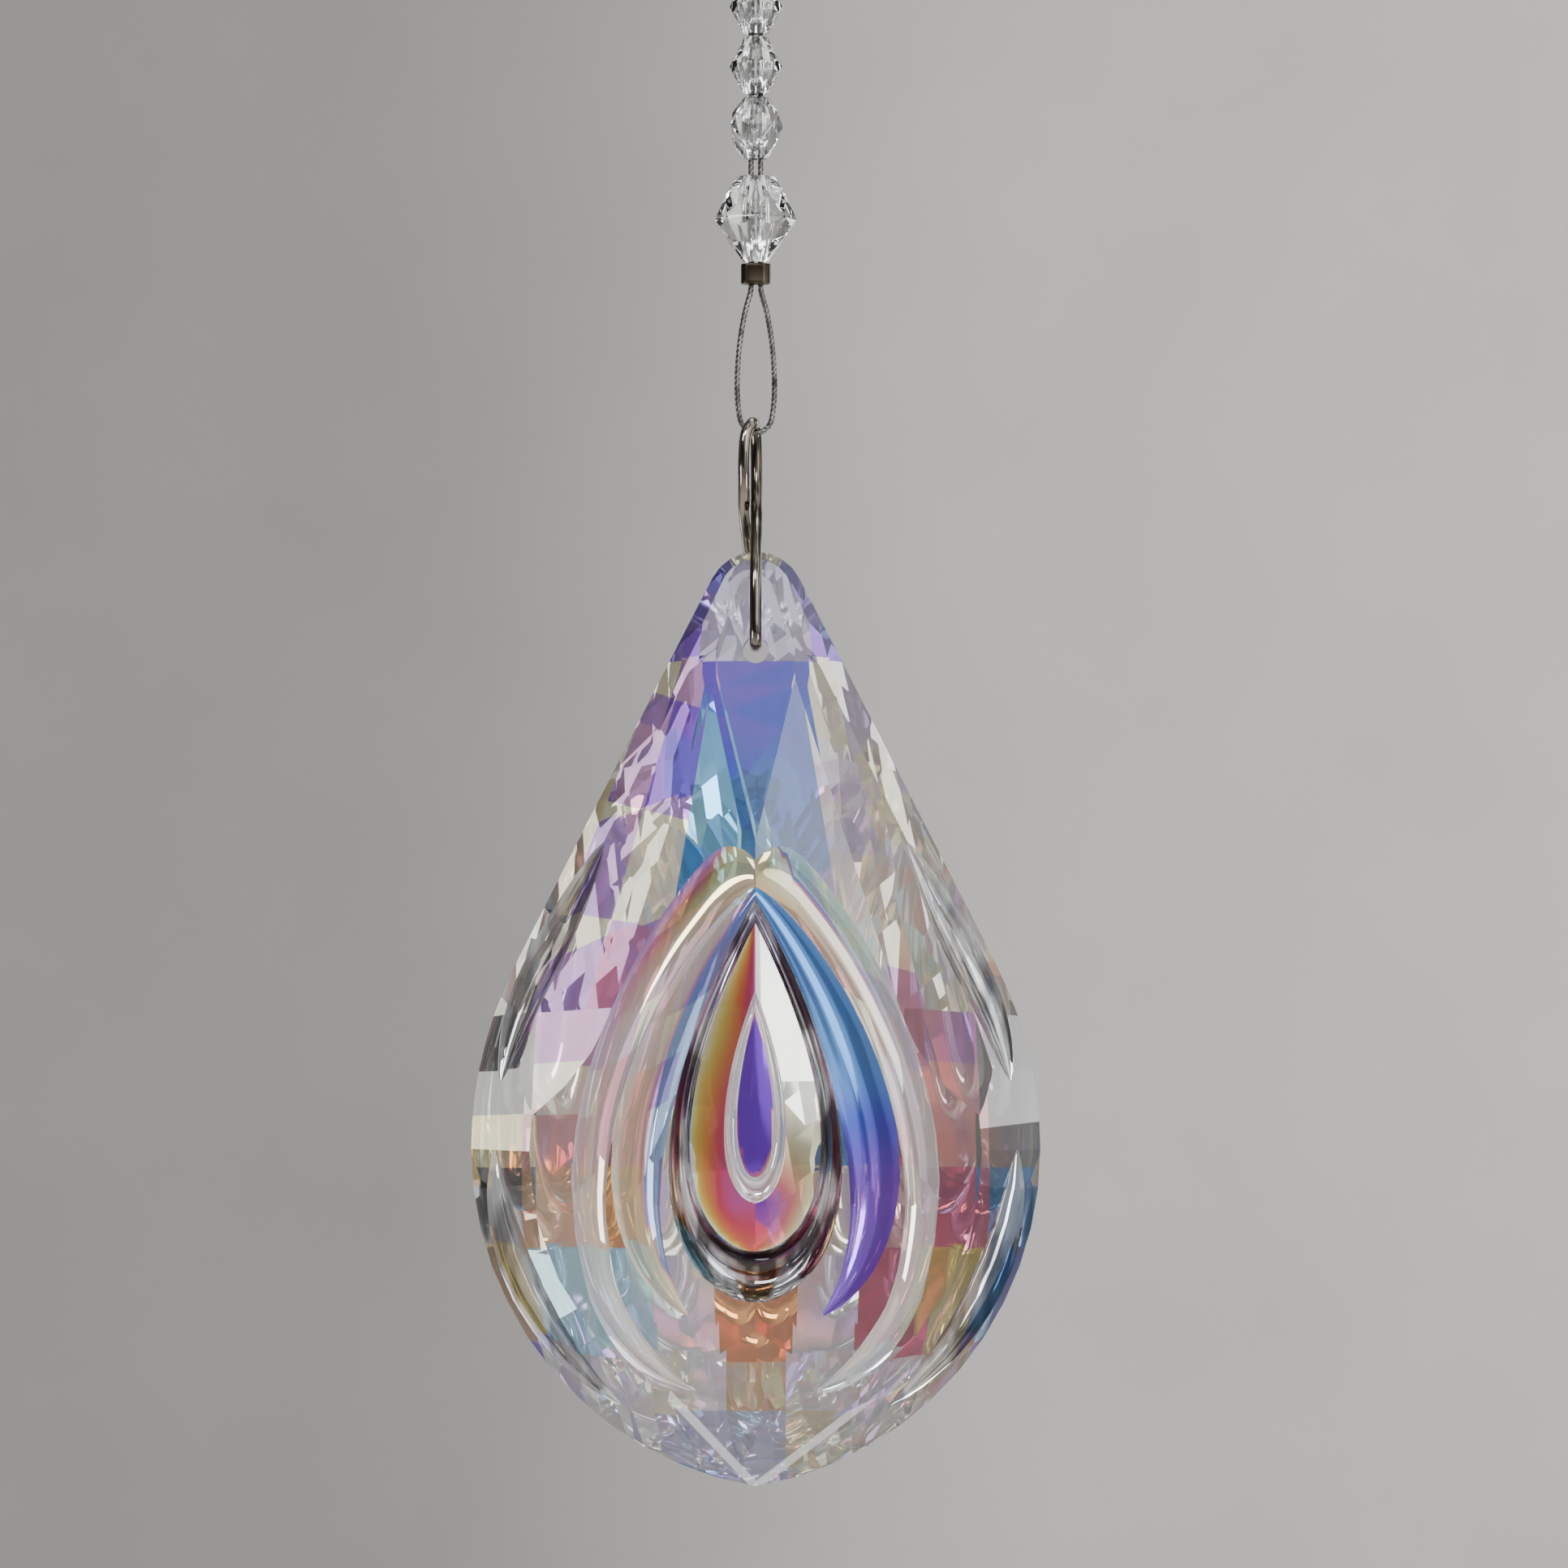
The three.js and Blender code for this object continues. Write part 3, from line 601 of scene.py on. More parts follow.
def loopPoint(loop, share):
    angle = math.pi * share
    widest = math.acos(-loop["point"] / (loop["point"] + 2))
    across = loop["width"] * math.sin(angle) * math.sin(angle / 2) ** loop["point"]
    across /= math.sin(widest) * math.sin(widest / 2) ** loop["point"]
    down = loop["top"] + (loop["bottom"] - loop["top"]) * (1 - math.cos(angle)) / 2
    if "notch" in loop and angle < widest:
        down += loop["notch"] * max(0, 1 - across / loop["notchWidth"]) ** 2
    return Vector((halfWidth * across, -height * down))


# the rounded teardrop inside the deep groove: shares of the front bulge and of the height
domed = {"depth": 0.954, "highest": 0.615, "up": 4.0, "down": 5.5, "ridge": 0.27, "ridgeRadius": 0.3,
         "ridgeFrom": 0.52, "ridgeTo": 0.66, "fall": 0.04, "rows": 44, "columns": 22}


# ridged towards its point, round lower down
def domedDepth(x, z):
    down = -z / height
    curve = domed["up"] if down < domed["highest"] else domed["down"]
    depth = drop["bulge"][-1] * (domed["depth"] - curve * (down - domed["highest"]) ** 2)
    share = clamp((down - domed["ridgeFrom"]) / (domed["ridgeTo"] - domed["ridgeFrom"]))
    rounded = share * share * (3 - 2 * share)
    ridge = domed["ridge"] * (math.hypot(x, domed["ridgeRadius"]) - domed["ridgeRadius"])
    return depth - (1 - rounded) * ridge - rounded * domed["fall"] * abs(x) ** 1.6


# one section of a flute: its middle, its two directions and its radius
def gougeSection(inside, outside, sink, depthOf=glassDepth):
    a = Vector((inside.x, -depthOf(inside.x, inside.y), inside.y))
    b = Vector((outside.x, -depthOf(outside.x, outside.y), outside.y))
    across = b - a
    width = across.length
    across.normalize()
    outwards = Vector((0, -1, 0))
    outwards = (outwards - across * outwards.dot(across)).normalized()
    radius = width * (0.25 + sink * sink) / (2 * sink)
    return [(a + b) / 2 + outwards * (radius - sink * width), across, outwards, radius]


def mirroredSection(section):
    centre, across, outwards, radius = section
    flip = [Vector((-v.x, v.y, v.z)) for v in (centre, across, outwards)]
    return [*flip, radius]


# evens out the small kinks that a flute takes from the facets under it
def softened(sections, rounds):
    for _ in range(rounds):
        radii = [s[3] for s in sections]
        middles = [s[0].copy() for s in sections]
        for i in range(2, len(sections) - 2):
            sections[i][0].y = (middles[i - 1].y + 2 * middles[i].y + middles[i + 1].y) / 4
            sections[i][3] = (radii[i - 1] + 2 * radii[i] + radii[i + 1]) / 4
    return sections


def tubeMesh(sections, sides, closed):
    points = [centre + across * u + outwards * v for centre, across, outwards, radius in sections
              for u, v in circle(radius, sides)]
    return points, bandFaces(len(sections), sides, closed)


def outlineAt(z):
    i = next(n for n, p in enumerate(rightSide) if p.y < z)
    start, end = rightSide[i - 1], rightSide[i]
    along = (end - start).normalized()
    return start + (end - start) * (z - start.y) / (end.y - start.y), Vector((along.y, -along.x))


# the sections of the right half of a flute, from its top down
def roundFlute(flute):
    steps = flute["steps"]
    inside, outside = loops[flute["inside"]], loops[flute["outside"]]
    depthOf = domedDepth if flute["inside"] == "innerInside" else glassDepth
    return [gougeSection(loopPoint(inside, i / steps), loopPoint(outside, i / steps), flute["sink"], depthOf)
            for i in range(steps + 1)]


def archFlute(flute):
    right = []
    for i in range(flute["steps"] + 1):
        share = flute["end"] * (i / flute["steps"]) ** 1.35
        narrowing = 0.48 * max(0, (share / flute["end"] - 0.55) / 0.45) ** 1.6
        a = loopPoint(loops[flute["inside"]], share)
        b = loopPoint(loops[flute["outside"]], share)
        right.append(gougeSection(a.lerp(b, narrowing), b.lerp(a, narrowing), flute["sink"]))
    return right


def rimFlute(flute):
    right = []
    for i in range(flute["steps"] + 1):
        share = flute["start"] + (flute["end"] - flute["start"]) * i / flute["steps"]
        swell = flute["width"] * (0.06 + 0.94 * math.sin(math.pi * i / flute["steps"]) ** 0.7)
        place, inwards = outlineAt(-share * height)
        middle = place + inwards * flute["inset"]
        right.append(gougeSection(middle + inwards * swell / 2, middle - inwards * swell / 2, flute["sink"]))
    return right


flutes = {
    "inner": {"kind": "round", "inside": "innerInside", "outside": "innerOutside", "sink": 0.34, "steps": 40,
              "sides": 28},
    "groove": {"kind": "round", "inside": "ringInside", "outside": "ringOutside", "sink": 0.55, "steps": 48,
               "sides": 32},
    "second": {"kind": "arch", "inside": "ringOutside", "outside": "second", "end": 0.84, "sink": 0.12,
               "steps": 56, "sides": 48},
    "third": {"kind": "arch", "inside": "second", "outside": "third", "end": 0.9, "sink": 0.12,
              "steps": 64, "sides": 48},
    "upperRim": {"kind": "rim", "start": 0.3, "end": 0.56, "inset": 0.085 * halfWidth,
                 "width": 0.125 * halfWidth, "sink": 0.24, "steps": 32, "sides": 36},
    "lowerRim": {"kind": "rim", "start": 0.64, "end": 0.93, "inset": 0.085 * halfWidth,
                 "width": 0.125 * halfWidth, "sink": 0.24, "steps": 32, "sides": 36},
}
fluteMakers = {"round": roundFlute, "arch": archFlute, "rim": rimFlute}


def fluteMeshes(flute):
    right = softened(fluteMakers[flute["kind"]](flute), 6)
    if flute["kind"] == "rim":
        left = [mirroredSection(s) for s in right]
        return [tubeMesh(right, flute["sides"], False), tubeMesh(left, flute["sides"], False)]
    closed = flute["kind"] == "round"
    left = [mirroredSection(s) for s in (right[1:-1] if closed else right[1:])]
    sections = right + left[::-1] if closed else left[::-1] + right
    return [tubeMesh(sections, flute["sides"], closed)]


# the teardrop inside the groove is cut by a lid with a hollow underside
def lidMesh():
    lid = drop["bulge"][-1] + 2
    points, faces = [], []
    rows, columns = domed["rows"], domed["columns"]
    for layer in (0, 1):
        for i in range(rows + 1):
            share = 0.004 + 0.992 * i / rows
            inside, outside = loopPoint(loops["ringInside"], share), loopPoint(loops["ringOutside"], share)
            edge = inside.lerp(outside, 0.5)
            for j in range(-columns, columns + 1):
                x = edge.x * math.sin(math.pi / 2 * j / columns)
                points.append((x, -lid if layer else -domedDepth(x, edge.y), edge.y))
    wide = 2 * columns + 1
    size = (rows + 1) * wide
    for i in range(rows):
        for j in range(wide - 1):
            a = i * wide + j
            faces.append((a, a + 1, a + 1 + wide, a + wide))
            faces.append((size + a, size + a + wide, size + a + 1 + wide, size + a + 1))
    border = [j for j in range(wide)] + [i * wide + wide - 1 for i in range(1, rows + 1)]
    border += [rows * wide + j for j in range(wide - 2, -1, -1)] + [i * wide for i in range(rows - 1, 0, -1)]
    for a, b in zip(border, border[1:] + border[:1]):
        faces.append((a, size + a, size + b, b))
    return points, faces


def outwardNormals(piece):
    shape = bmesh.new()
    shape.from_mesh(piece.data)
    bmesh.ops.recalc_face_normals(shape, faces=shape.faces)
    shape.to_mesh(piece.data)
    shape.free()


# looks of the drop

# colours of the thin coat, in the order in which they follow as the film gets thicker; the last, near black,
# is painted shade and no colour of the coat
filmColours = [
    (0.0, (0.93, 0.94, 0.96)), (0.09, (0.95, 0.9, 0.5)), (0.18, (0.75, 0.58, 0.1)),
    (0.28, (0.72, 0.25, 0.06)), (0.37, (0.66, 0.07, 0.12)), (0.45, (0.55, 0.14, 0.48)),
    (0.54, (0.2, 0.04, 0.62)), (0.64, (0.03, 0.06, 0.6)), (0.74, (0.04, 0.26, 0.6)),
    (0.83, (0.35, 0.8, 0.95)), (0.9, (0.65, 0.95, 0.75)), (0.95, (0.97, 0.9, 0.76)),
    (1.0, (0.07, 0.08, 0.07)),
]
# shares of mirror and of clearness; what is left scatters light like mother of pearl
films = {
    "cutFront": {"mirror": 0.0, "clear": 1.0, "roughness": 0.0, "ripple": 0.02, "rippleScale": 60.0},
    "coatedBack": {"mirror": 0.5, "clear": 0.5, "roughness": 0.0, "ripple": 0.04, "rippleScale": 60.0},
    "pressedFlutes": {"mirror": 0.25, "clear": 0.8, "roughness": 0.02, "ripple": 0.03, "rippleScale": 80.0},
    "coatedLoops": {"mirror": 0.6, "clear": 0.5, "roughness": 0.08, "ripple": 0.08, "rippleScale": 300.0},
}
crystalIndex = 1.6
rippleHeight = 0.0002
hueRipple = 0.04   # how far the ripple shifts the place in the film's colours
crushed = {"scale": 260.0, "stretch": (1.3, 1.0, 0.6), "turn": math.radians(20), "hueSpread": 0.2,
           "tilt": 0.4, "tiltHeight": 0.001, "teardrop": 0.7}


def attribute(tree, name):
    return addNode(tree, "Attribute", {}, attribute_name=name).outputs["Fac"]


# many small mirror images, as if the facet were crushed into splinters, where the attribute says so
def crushedPlace(tree, shader, place):
    amount = attribute(tree, "crushed")
    where = stretchedPlace(tree, crushed["stretch"], crushed["turn"])
    cells = addNode(tree, "TexVoronoi", {"Scale": crushed["scale"], "Vector": where}, distance="MANHATTAN")
    chance = addNode(tree, "SeparateColor", {"Color": cells.outputs["Color"]}).outputs["Red"]
    heights = mathNode(tree, "MULTIPLY", cells.outputs["Distance"], amount)
    addBump(tree, shader, heights, crushed["tilt"], crushed["tiltHeight"])
    spread = mathNode(tree, "MULTIPLY", amount, crushed["hueSpread"])
    return mathNode(tree, "MULTIPLY_ADD", chance, spread, place)


def trappingGlass(name, look):
    material, tree, shader = newMaterial(name)
    feed(tree, shader, {"Transmission Weight": look["clear"], "Metallic": look["mirror"],
                        "IOR": crystalIndex, "Roughness": look["roughness"]})
    return material, tree, shader


def filmMaterial(name):
    look = films[name]
    material, tree, shader = trappingGlass(name, look)
    noise = noiseBump(tree, shader, look["rippleScale"], look["ripple"], rippleHeight)
    ripple = mathNode(tree, "SUBTRACT", noise, 0.5)
    place = mathNode(tree, "MULTIPLY_ADD", ripple, hueRipple, attribute(tree, "film"))
    if name.startswith("coated"):
        place = crushedPlace(tree, shader, place)
    film = rampBetween(tree, place, filmColours)
    feed(tree, shader, {"Base Color": mixColours(tree, attribute(tree, "coatAndShade"), (1, 1, 1, 1), film)})
    return material


# the steep flutes trap light and look like dark, streaked chrome; their colour is painted shade, streaked
# with painted reflections
paintedShadeGlass = {"clear": 1.0, "roughness": 0.02, "streaks": 400.0, "ripple": 0.1, "stretch": (1, 1, 0.25),
         "paintedBlack": (0.01, 0.01, 0.01, 1)}
paintedShadeLooks = {
    "paintedShadeGroove": {"mirror": 0.6, "dark": (0.07, 0.07, 0.075), "light": (0.8, 0.82, 0.85)},
    "paintedShadeRim": {"mirror": 0.35, "dark": (0.25, 0.25, 0.26), "light": (0.85, 0.87, 0.88)},
}


def paintedShadeMaterial(name):
    look = {**paintedShadeGlass, **paintedShadeLooks[name]}
    material, tree, shader = trappingGlass(name, look)
    noise = noiseBump(tree, shader, look["streaks"], look["ripple"], rippleHeight, stretch=look["stretch"])
    # painted shade and painted reflection: dark and pale streaks in the colour
    paintedStreaks = rampBetween(tree, noise, [(0.42, look["dark"]), (0.56, look["light"])])
    # where the attribute says so, black painted shade is mixed in
    feed(tree, shader, {"Base Color": mixColours(tree, attribute(tree, "coatAndShade"), paintedStreaks, paintedShadeGlass["paintedBlack"])})
    return material


groundGlass = clearGlass("groundHole", {"tint": grey(0.96), "ior": crystalIndex, "roughness": 0.22,
                                        "haze": 0.2, "rippleScale": 2500.0, "ripple": 0.4,
                                        "rippleHeight": 0.0001})
dropSlots = [*map(filmMaterial, films), *map(paintedShadeMaterial, paintedShadeLooks), groundGlass]


# place in the film's colours, and strength
hues = {
    "frost": (-0.08, 0.9), "white": (0.0, 0.9), "clear": (0.0, 0.15), "cream": (0.07, 0.6),
    "olive": (0.14, 0.8), "gold": (0.17, 1.0), "brown": (0.25, 0.75), "amber": (0.27, 1.0),
    "salmon": (0.34, 0.65), "rose": (0.39, 0.95), "mauve": (0.46, 0.85), "lilac": (0.48, 0.35),
    "periwinkle": (0.54, 0.5), "violet": (0.55, 1.0), "royal": (0.64, 1.0), "steel": (0.72, 1.0),
    # the last hue is painted shade: near black at the dark edges and rim facets
    "cyan": (0.83, 1.0), "mint": (0.91, 0.8), "smoke": (1.0, 0.85),
}
# the coat behind changes its colour from patch to patch, and its near black patches are painted shade: rows
# from the top, columns from the left
patches = {
    "levels": [0.5, 0.556, 0.606, 0.66, 0.74, 0.845, 0.905],   # where each row starts, share of the height
    "splintered": 5, "crushed": 0.7,   # the first row that looks crushed, and how far
    "rows": [
        "smoke mauve mauve cream clear cream rose mauve smoke",
        "smoke cream rose mauve clear mint mauve salmon smoke",
        "olive salmon rose cream clear steel rose salmon smoke",
        "smoke brown amber cream rose cream salmon rose steel",
        "gold cyan cyan white amber white rose gold steel",
        "smoke frost frost frost olive frost frost cream smoke",
        "smoke frost frost periwinkle periwinkle cream frost frost smoke",
    ],
}
# above them the borders spread from a point over the top, so that each row has sectors from the middle out
sectors = {
    "levels": [drop["paleCap"], 0.19, 0.25, 0.31, 0.37, 0.43],
    "slants": [0, 0.35, -0.3, 0.25, -0.35, 0.2],   # of each level, down to the right
    "apex": 8.0,
    "spread": [0.15, 0.27, 0.385],   # sideways for each millimetre down
    "left": ["royal mauve cream cream", "steel violet mauve cream", "steel mauve cream white",
             "steel cream mauve cream", "mauve mauve cream mint", "mauve rose mauve mint"],
    "right": ["royal cream frost frost", "royal frost white frost", "royal lilac cream frost",
              "royal mint frost white", "mauve cream mint frost", "rose mauve cream mint"],
}
# two narrow bands of the front run up from the tip, a painted highlight along the edges of the V: sideways
# for each millimetre up, width, where they end
veeHighlightBands = {"spread": {-1: 0.89, 1: 1.24}, "width": 0.7, "end": 0.905, "strength": 0.3}
# from the top down, on the left and on the right
rimHues = {
    "left": "white cream cream white smoke mauve smoke gold smoke gold gold smoke violet white cream white "
            "mint steel violet",
    "right": "white white white white smoke mint smoke mint steel smoke steel smoke mauve smoke mint cream "
             "white mint rose",
}


# for a facet of the back: place in the film's colours, strength, and how far it looks crushed
def backFilm(name, place, centre, x, z):
    side = "right" if x > 0 else "left"
    down, middleDown = -z / height, -centre.z / height
    if name == "rim":
        return *hues[rimHues[side].split()[abs(place) - 1]], 0.4
    if name == "cap" and abs(place) < 3:
        return *hues["white"], 0.6
    if middleDown > patches["levels"][0] and name != "cap":
        row = sum(middleDown > level for level in patches["levels"]) - 1
        words = patches["rows"][row].split()
        column = round(centre.x / chequer["pitch"]) + chequer["columns"]
        word = words[max(0, min(len(words) - 1, column))]
        return *hues[word], patches["crushed"] if row >= patches["splintered"] else 0.0
    if name == "middle" and down < drop["paleCap"]:
        return 0.5, 0.35, 0.8
    if name == "middle":   # bluer towards its point
        start = 0.63 if side == "right" else 0.595
        return start + 0.08 * max(0, (down - 0.17) / 0.14), 1.0, 0.0
    if name == "cap" or middleDown < drop["paleCap"]:
        return *hues["violet"], 0.3
    row = sum((-centre.z - slant * centre.x) / height > level
              for level, slant in zip(sectors["levels"], sectors["slants"])) - 1
    spread = abs(centre.x) / (sectors["apex"] - centre.z)
    sector = sum(spread > border for border in sectors["spread"])
    words = sectors[side][max(0, row)].split()
    return *hues[words[sector]], 0.35 if sector < 3 else 0.7


# half the width of a loop at a level
def loopHalfWidth(loop, down):
    if not loop["top"] < down < loop["bottom"]:
        return 0.0
    angle = math.acos(1 - 2 * (down - loop["top"]) / (loop["bottom"] - loop["top"]))
    return loopPoint(loop, angle / math.pi).x


# where the colours of the pressed flutes change, most of them as shares of the height
loopColours = {
    # the crescent is painted shade, mixed into the groove's colour
    "paintedShadeCrescent": {"at": 0.75, "bow": 0.00174, "half": 0.014, "end": 4.8, "fade": 1.2},
    "redder": {"from": 0.61, "over": 0.075}, "lower": {"from": 0.52, "over": 0.16},
    "lowest": {"from": 0.69, "over": 0.04}, "violet": {"from": 0.55, "over": 0.12},
    "sparkleFrom": 0.56,
}


# how far a level lies in the stretch over which a colour changes, from 0 to 1
def stretchShare(word, down):
    return clamp((down - loopColours[word]["from"]) / loopColours[word]["over"])


# violet in its small teardrop, gold to rose inwards on the left, white to rose downwards on the right
def teardropFilm(x, down):
    if abs(x) < loopHalfWidth(loops["innerInside"], down):
        return hues["violet"]
    across = min(1, abs(x) / max(0.5, loopHalfWidth(loops["ringInside"], down)))
    lowest = stretchShare("lowest", down)
    if x > 0:
        redder = stretchShare("redder", down) * (1 - across ** 2.5)
        return 0.03 + (0.39 - 0.08 * lowest) * redder, 0.6 + 0.4 * redder
    power = 1.2 + 2.8 * stretchShare("lower", down)
    return 0.42 - 0.32 * across ** power - 0.08 * lowest, 1.0


# place and strength at a point of a pressed flute of the front
def loopFilm(flute, x, z):
    down = -z / height
    right = x > 0
    if flute == "groove":   # painted shade: a black crescent under the teardrop
        dark = loopColours["paintedShadeCrescent"]
        away = abs(down - dark["at"] + dark["bow"] * x * x) / dark["half"]
        return 0.0, clamp(1.6 * (1 - away)) * clamp((dark["end"] - abs(x)) / dark["fade"])
    if flute in ("inner", "upperRim", "lowerRim"):
        return 0.0, 0.0
    if flute == "domed":
        return teardropFilm(x, down)
    inside = loopHalfWidth(loops["ringOutside" if flute == "second" else "second"], down)
    outside = max(loopHalfWidth(loops[flute], down), inside + 0.5)
    across = clamp((abs(x) - inside) / (outside - inside))
    if flute == "second" and right:   # steel blue, and violet lower down
        return 0.72 - 0.17 * stretchShare("violet", down), 0.95
    if flute == "second":             # steel blue, then amber to cream outwards
        return (0.72, 0.85) if across < 0.4 else (0.26 - 0.2 * across, 0.6)
    fade = max(0.25, 1 - max(0, down - 0.38) / 0.2)
    if right:
        return (0.22 - 0.3 * across if across < 0.6 else 0.88), 0.85 * fade
    return 0.14 + 0.4 * max(0, across - 0.55) / 0.45, 0.95 * fade


# the right half of the teardrop looks crushed low down
def sparkles(flute, x, down):
    low = down > loopColours["sparkleFrom"]
    return flute == "domed" and low and x > loopHalfWidth(loops["innerInside"], down)


def fluteSlot(flute, right):
    if flute == "groove":
        return "paintedShadeGroove"
    if flute.endswith("Rim"):
        return "paintedShadeRim"
    coated = flute == "domed" or flute == "second" and right
    return "coatedLoops" if coated else "pressedFlutes"


def nearestFacet(facets, side, centre):
    return min(facets, key=lambda facet: abs(depthAt(facet[2], centre.x, centre.z) - side * centre.y))


def inVeeHighlightBand(x, z):
    spread = veeHighlightBands["spread"][1 if x > 0 else -1]
    distance = abs(abs(x) - spread * (z + height)) / math.hypot(1, spread)
    return -z / height > veeHighlightBands["end"] and distance < 0.5 * veeHighlightBands["width"]


# facets face the front or the back by more than this, the wall at the edge by less
facing = 0.02


# parts the flat facets of one side along a line, so that their colour can change there
def score(shape, place, direction, fromLevel, side=1):
    behind = [f for f in shape.faces
              if side * f.normal.y > facing and -f.calc_center_median().z / height > fromLevel - 1e-4]
    edges = {e for f in behind for e in f.edges}
    verts = {v for f in behind for v in f.verts}
    bmesh.ops.bisect_plane(shape, geom=behind + list(edges) + list(verts), dist=1e-5, plane_co=place,
                           plane_no=direction)


# each cutter leaves its tag on the faces that it cuts, until they get their look
fluteTags = {name: bpy.data.materials.new("tag_" + name) for name in ("domed", *flutes)}


def scoreColours(shape):
    for level in [drop["paleCap"], *patches["levels"]]:
        score(shape, (0, 0, -level * height), (0, 0, 1), 0)
    for level, slant in list(zip(sectors["levels"], sectors["slants"]))[1:]:
        score(shape, (0, 0, -level * height), (slant, 0, 1), 0)
    for side in (-1, 1):
        for border in sectors["spread"]:
            score(shape, (0, 0, sectors["apex"]), (1, 0, side * border), 0)
        spread = veeHighlightBands["spread"][side]
        for edge in (-0.5, 0.5):
            across = edge * veeHighlightBands["width"] * math.hypot(1, spread)
            score(shape, (side * across, 0, -height), (1, 0, -side * spread), veeHighlightBands["end"], -1)
    for column in range(-chequer["columns"], chequer["columns"]):
        score(shape, ((column + 0.5) * chequer["pitch"], 0, 0), (1, 0, 0), patches["levels"][0])


def cutAway(piece, points, faces, material):
    cutter = newPiece("cutter", points, faces, [material])
    outwardNormals(cutter)
    applyBoolean(piece, cutter)


def buildDrop():
    shape = blockMesh()
    for side, facets in ((-1, frontFacets), (1, backFacets)):
        for _, _, plane in facets:
            grind(shape, plane, side)
    scoreColours(shape)
    bmesh.ops.triangulate(shape, faces=shape.faces)
    piece = pieceFrom("crystalDrop", shape, dropSlots)
    print("ground facets:", len(piece.data.polygons))
    cutAway(piece, *lidMesh(), fluteTags["domed"])
    for name, flute in flutes.items():
        for points, faces in fluteMeshes(flute):
            cutAway(piece, points, faces, fluteTags[name])
        print("cut flute", name, len(piece.data.polygons))
    bore = [Vector((0, y, -drop["holeBelowTop"])) for y in (-15, 15)]
    hole = sweep(bore, lambda t: circle(drop["holeRadius"], 56), (1, 0, 0))
    cutAway(piece, *hole, groundGlass)
    finishDrop(piece)
    return piece


# the material of a face, and place, strength and crushed look at each of its corners
def faceLook(mesh, face, flute, ground):
    centre = face.center / mm
    corners = [cornerPlace(mesh, corner, centre) for corner in face.loop_indices]
    if flute:
        sparkling = crushed["teardrop"] if sparkles(flute, centre.x, -centre.z / height) else 0.0
        return fluteSlot(flute, centre.x > 0), [(*loopFilm(flute, *corner), sparkling) for corner in corners]
    if ground:
        return "groundHole", [(0, 0, 0)] * len(corners)
    if face.normal.y > facing:
        name, place, _ = nearestFacet(backFacets, 1, centre)
        return "coatedBack", [backFilm(name, place, centre, *corner) for corner in corners]
    # painted highlight: a paler, pearly film along the V edges of the front
    if inVeeHighlightBand(centre.x, centre.z):
        return "pressedFlutes", [(0, veeHighlightBands["strength"], 0)] * len(corners)
    return "cutFront", [(0, 0, 0)] * len(corners)


def finishDrop(piece):
    mesh = piece.data
    tagged = {tag.name: name for name, tag in fluteTags.items()}
    fluteOf = [tagged.get(material.name) for material in mesh.materials]
    slotOf = {material.name: i for i, material in enumerate(mesh.materials)}
    layers = [mesh.attributes.new(word, "FLOAT", "CORNER") for word in ("film", "coatAndShade", "crushed")]
    for face in mesh.polygons:
        flute = fluteOf[face.material_index]
        ground = face.material_index == slotOf["groundHole"]
        if flute or ground:
            face.use_smooth = True
        target, values = faceLook(mesh, face, flute, ground)
        face.material_index = slotOf[target]
        for corner, cornerValues in zip(face.loop_indices, values):
            for layer, value in zip(layers, cornerValues):
                layer.data[corner].value = value
    markSharp(mesh)
    keep = [material for material in mesh.materials if material.name not in tagged]
    order = {material.name: i for i, material in enumerate(keep)}
    indices = [order[mesh.materials[f.material_index].name] for f in mesh.polygons]
    mesh.materials.clear()
    for material in keep:
        mesh.materials.append(material)
    mesh.polygons.foreach_set("material_index", indices)
    for tag in fluteTags.values():
        bpy.data.materials.remove(tag)
    mesh.transform(Matrix.Translation((0, 0, drop["top"] * mm)))
    mesh.update()


# corners on the middle line belong to the side on which their face lies
def cornerPlace(mesh, corner, centre):
    place = mesh.vertices[mesh.loops[corner].vertex_index].co / mm
    x = math.copysign(max(abs(place.x), 1e-4), centre.x)
    paleEnd = -drop["paleCap"] * height
    nudge = 0.01 if centre.z > paleEnd else -0.01
    return x, place.z + nudge if abs(place.z - paleEnd) < 0.005 else place.z


# edges over this angle stay sharp where smooth faces meet
sharpAngle = math.radians(24)


def markSharp(mesh):
    shape = bmesh.new()
    shape.from_mesh(mesh)
    for edge in shape.edges:
        if len(edge.link_faces) == 2:
            angle = edge.link_faces[0].normal.angle(edge.link_faces[1].normal, 0)
            edge.smooth = angle < sharpAngle
    shape.to_mesh(mesh)
    shape.free()


dropPiece = buildDrop()
settle(dropPiece, "coated_crystal", "crystal_pendant")


# pin

pin = {"wire": 0.96, "height": 18.2, "eyeDepth": 3.1, "neckHeight": 11.3, "strandGap": 0.06, "lean": 0.45,
       "topLean": 0.2, "bendRadius": 0.75, "endGap": 0.5, "faceClearance": 0.35, "eyeClearance": 0.1}
eyeTop = levels["lowerLoopBottom"] + cable["diameter"] / 2 + pin["eyeClearance"] + pin["wire"] / 2


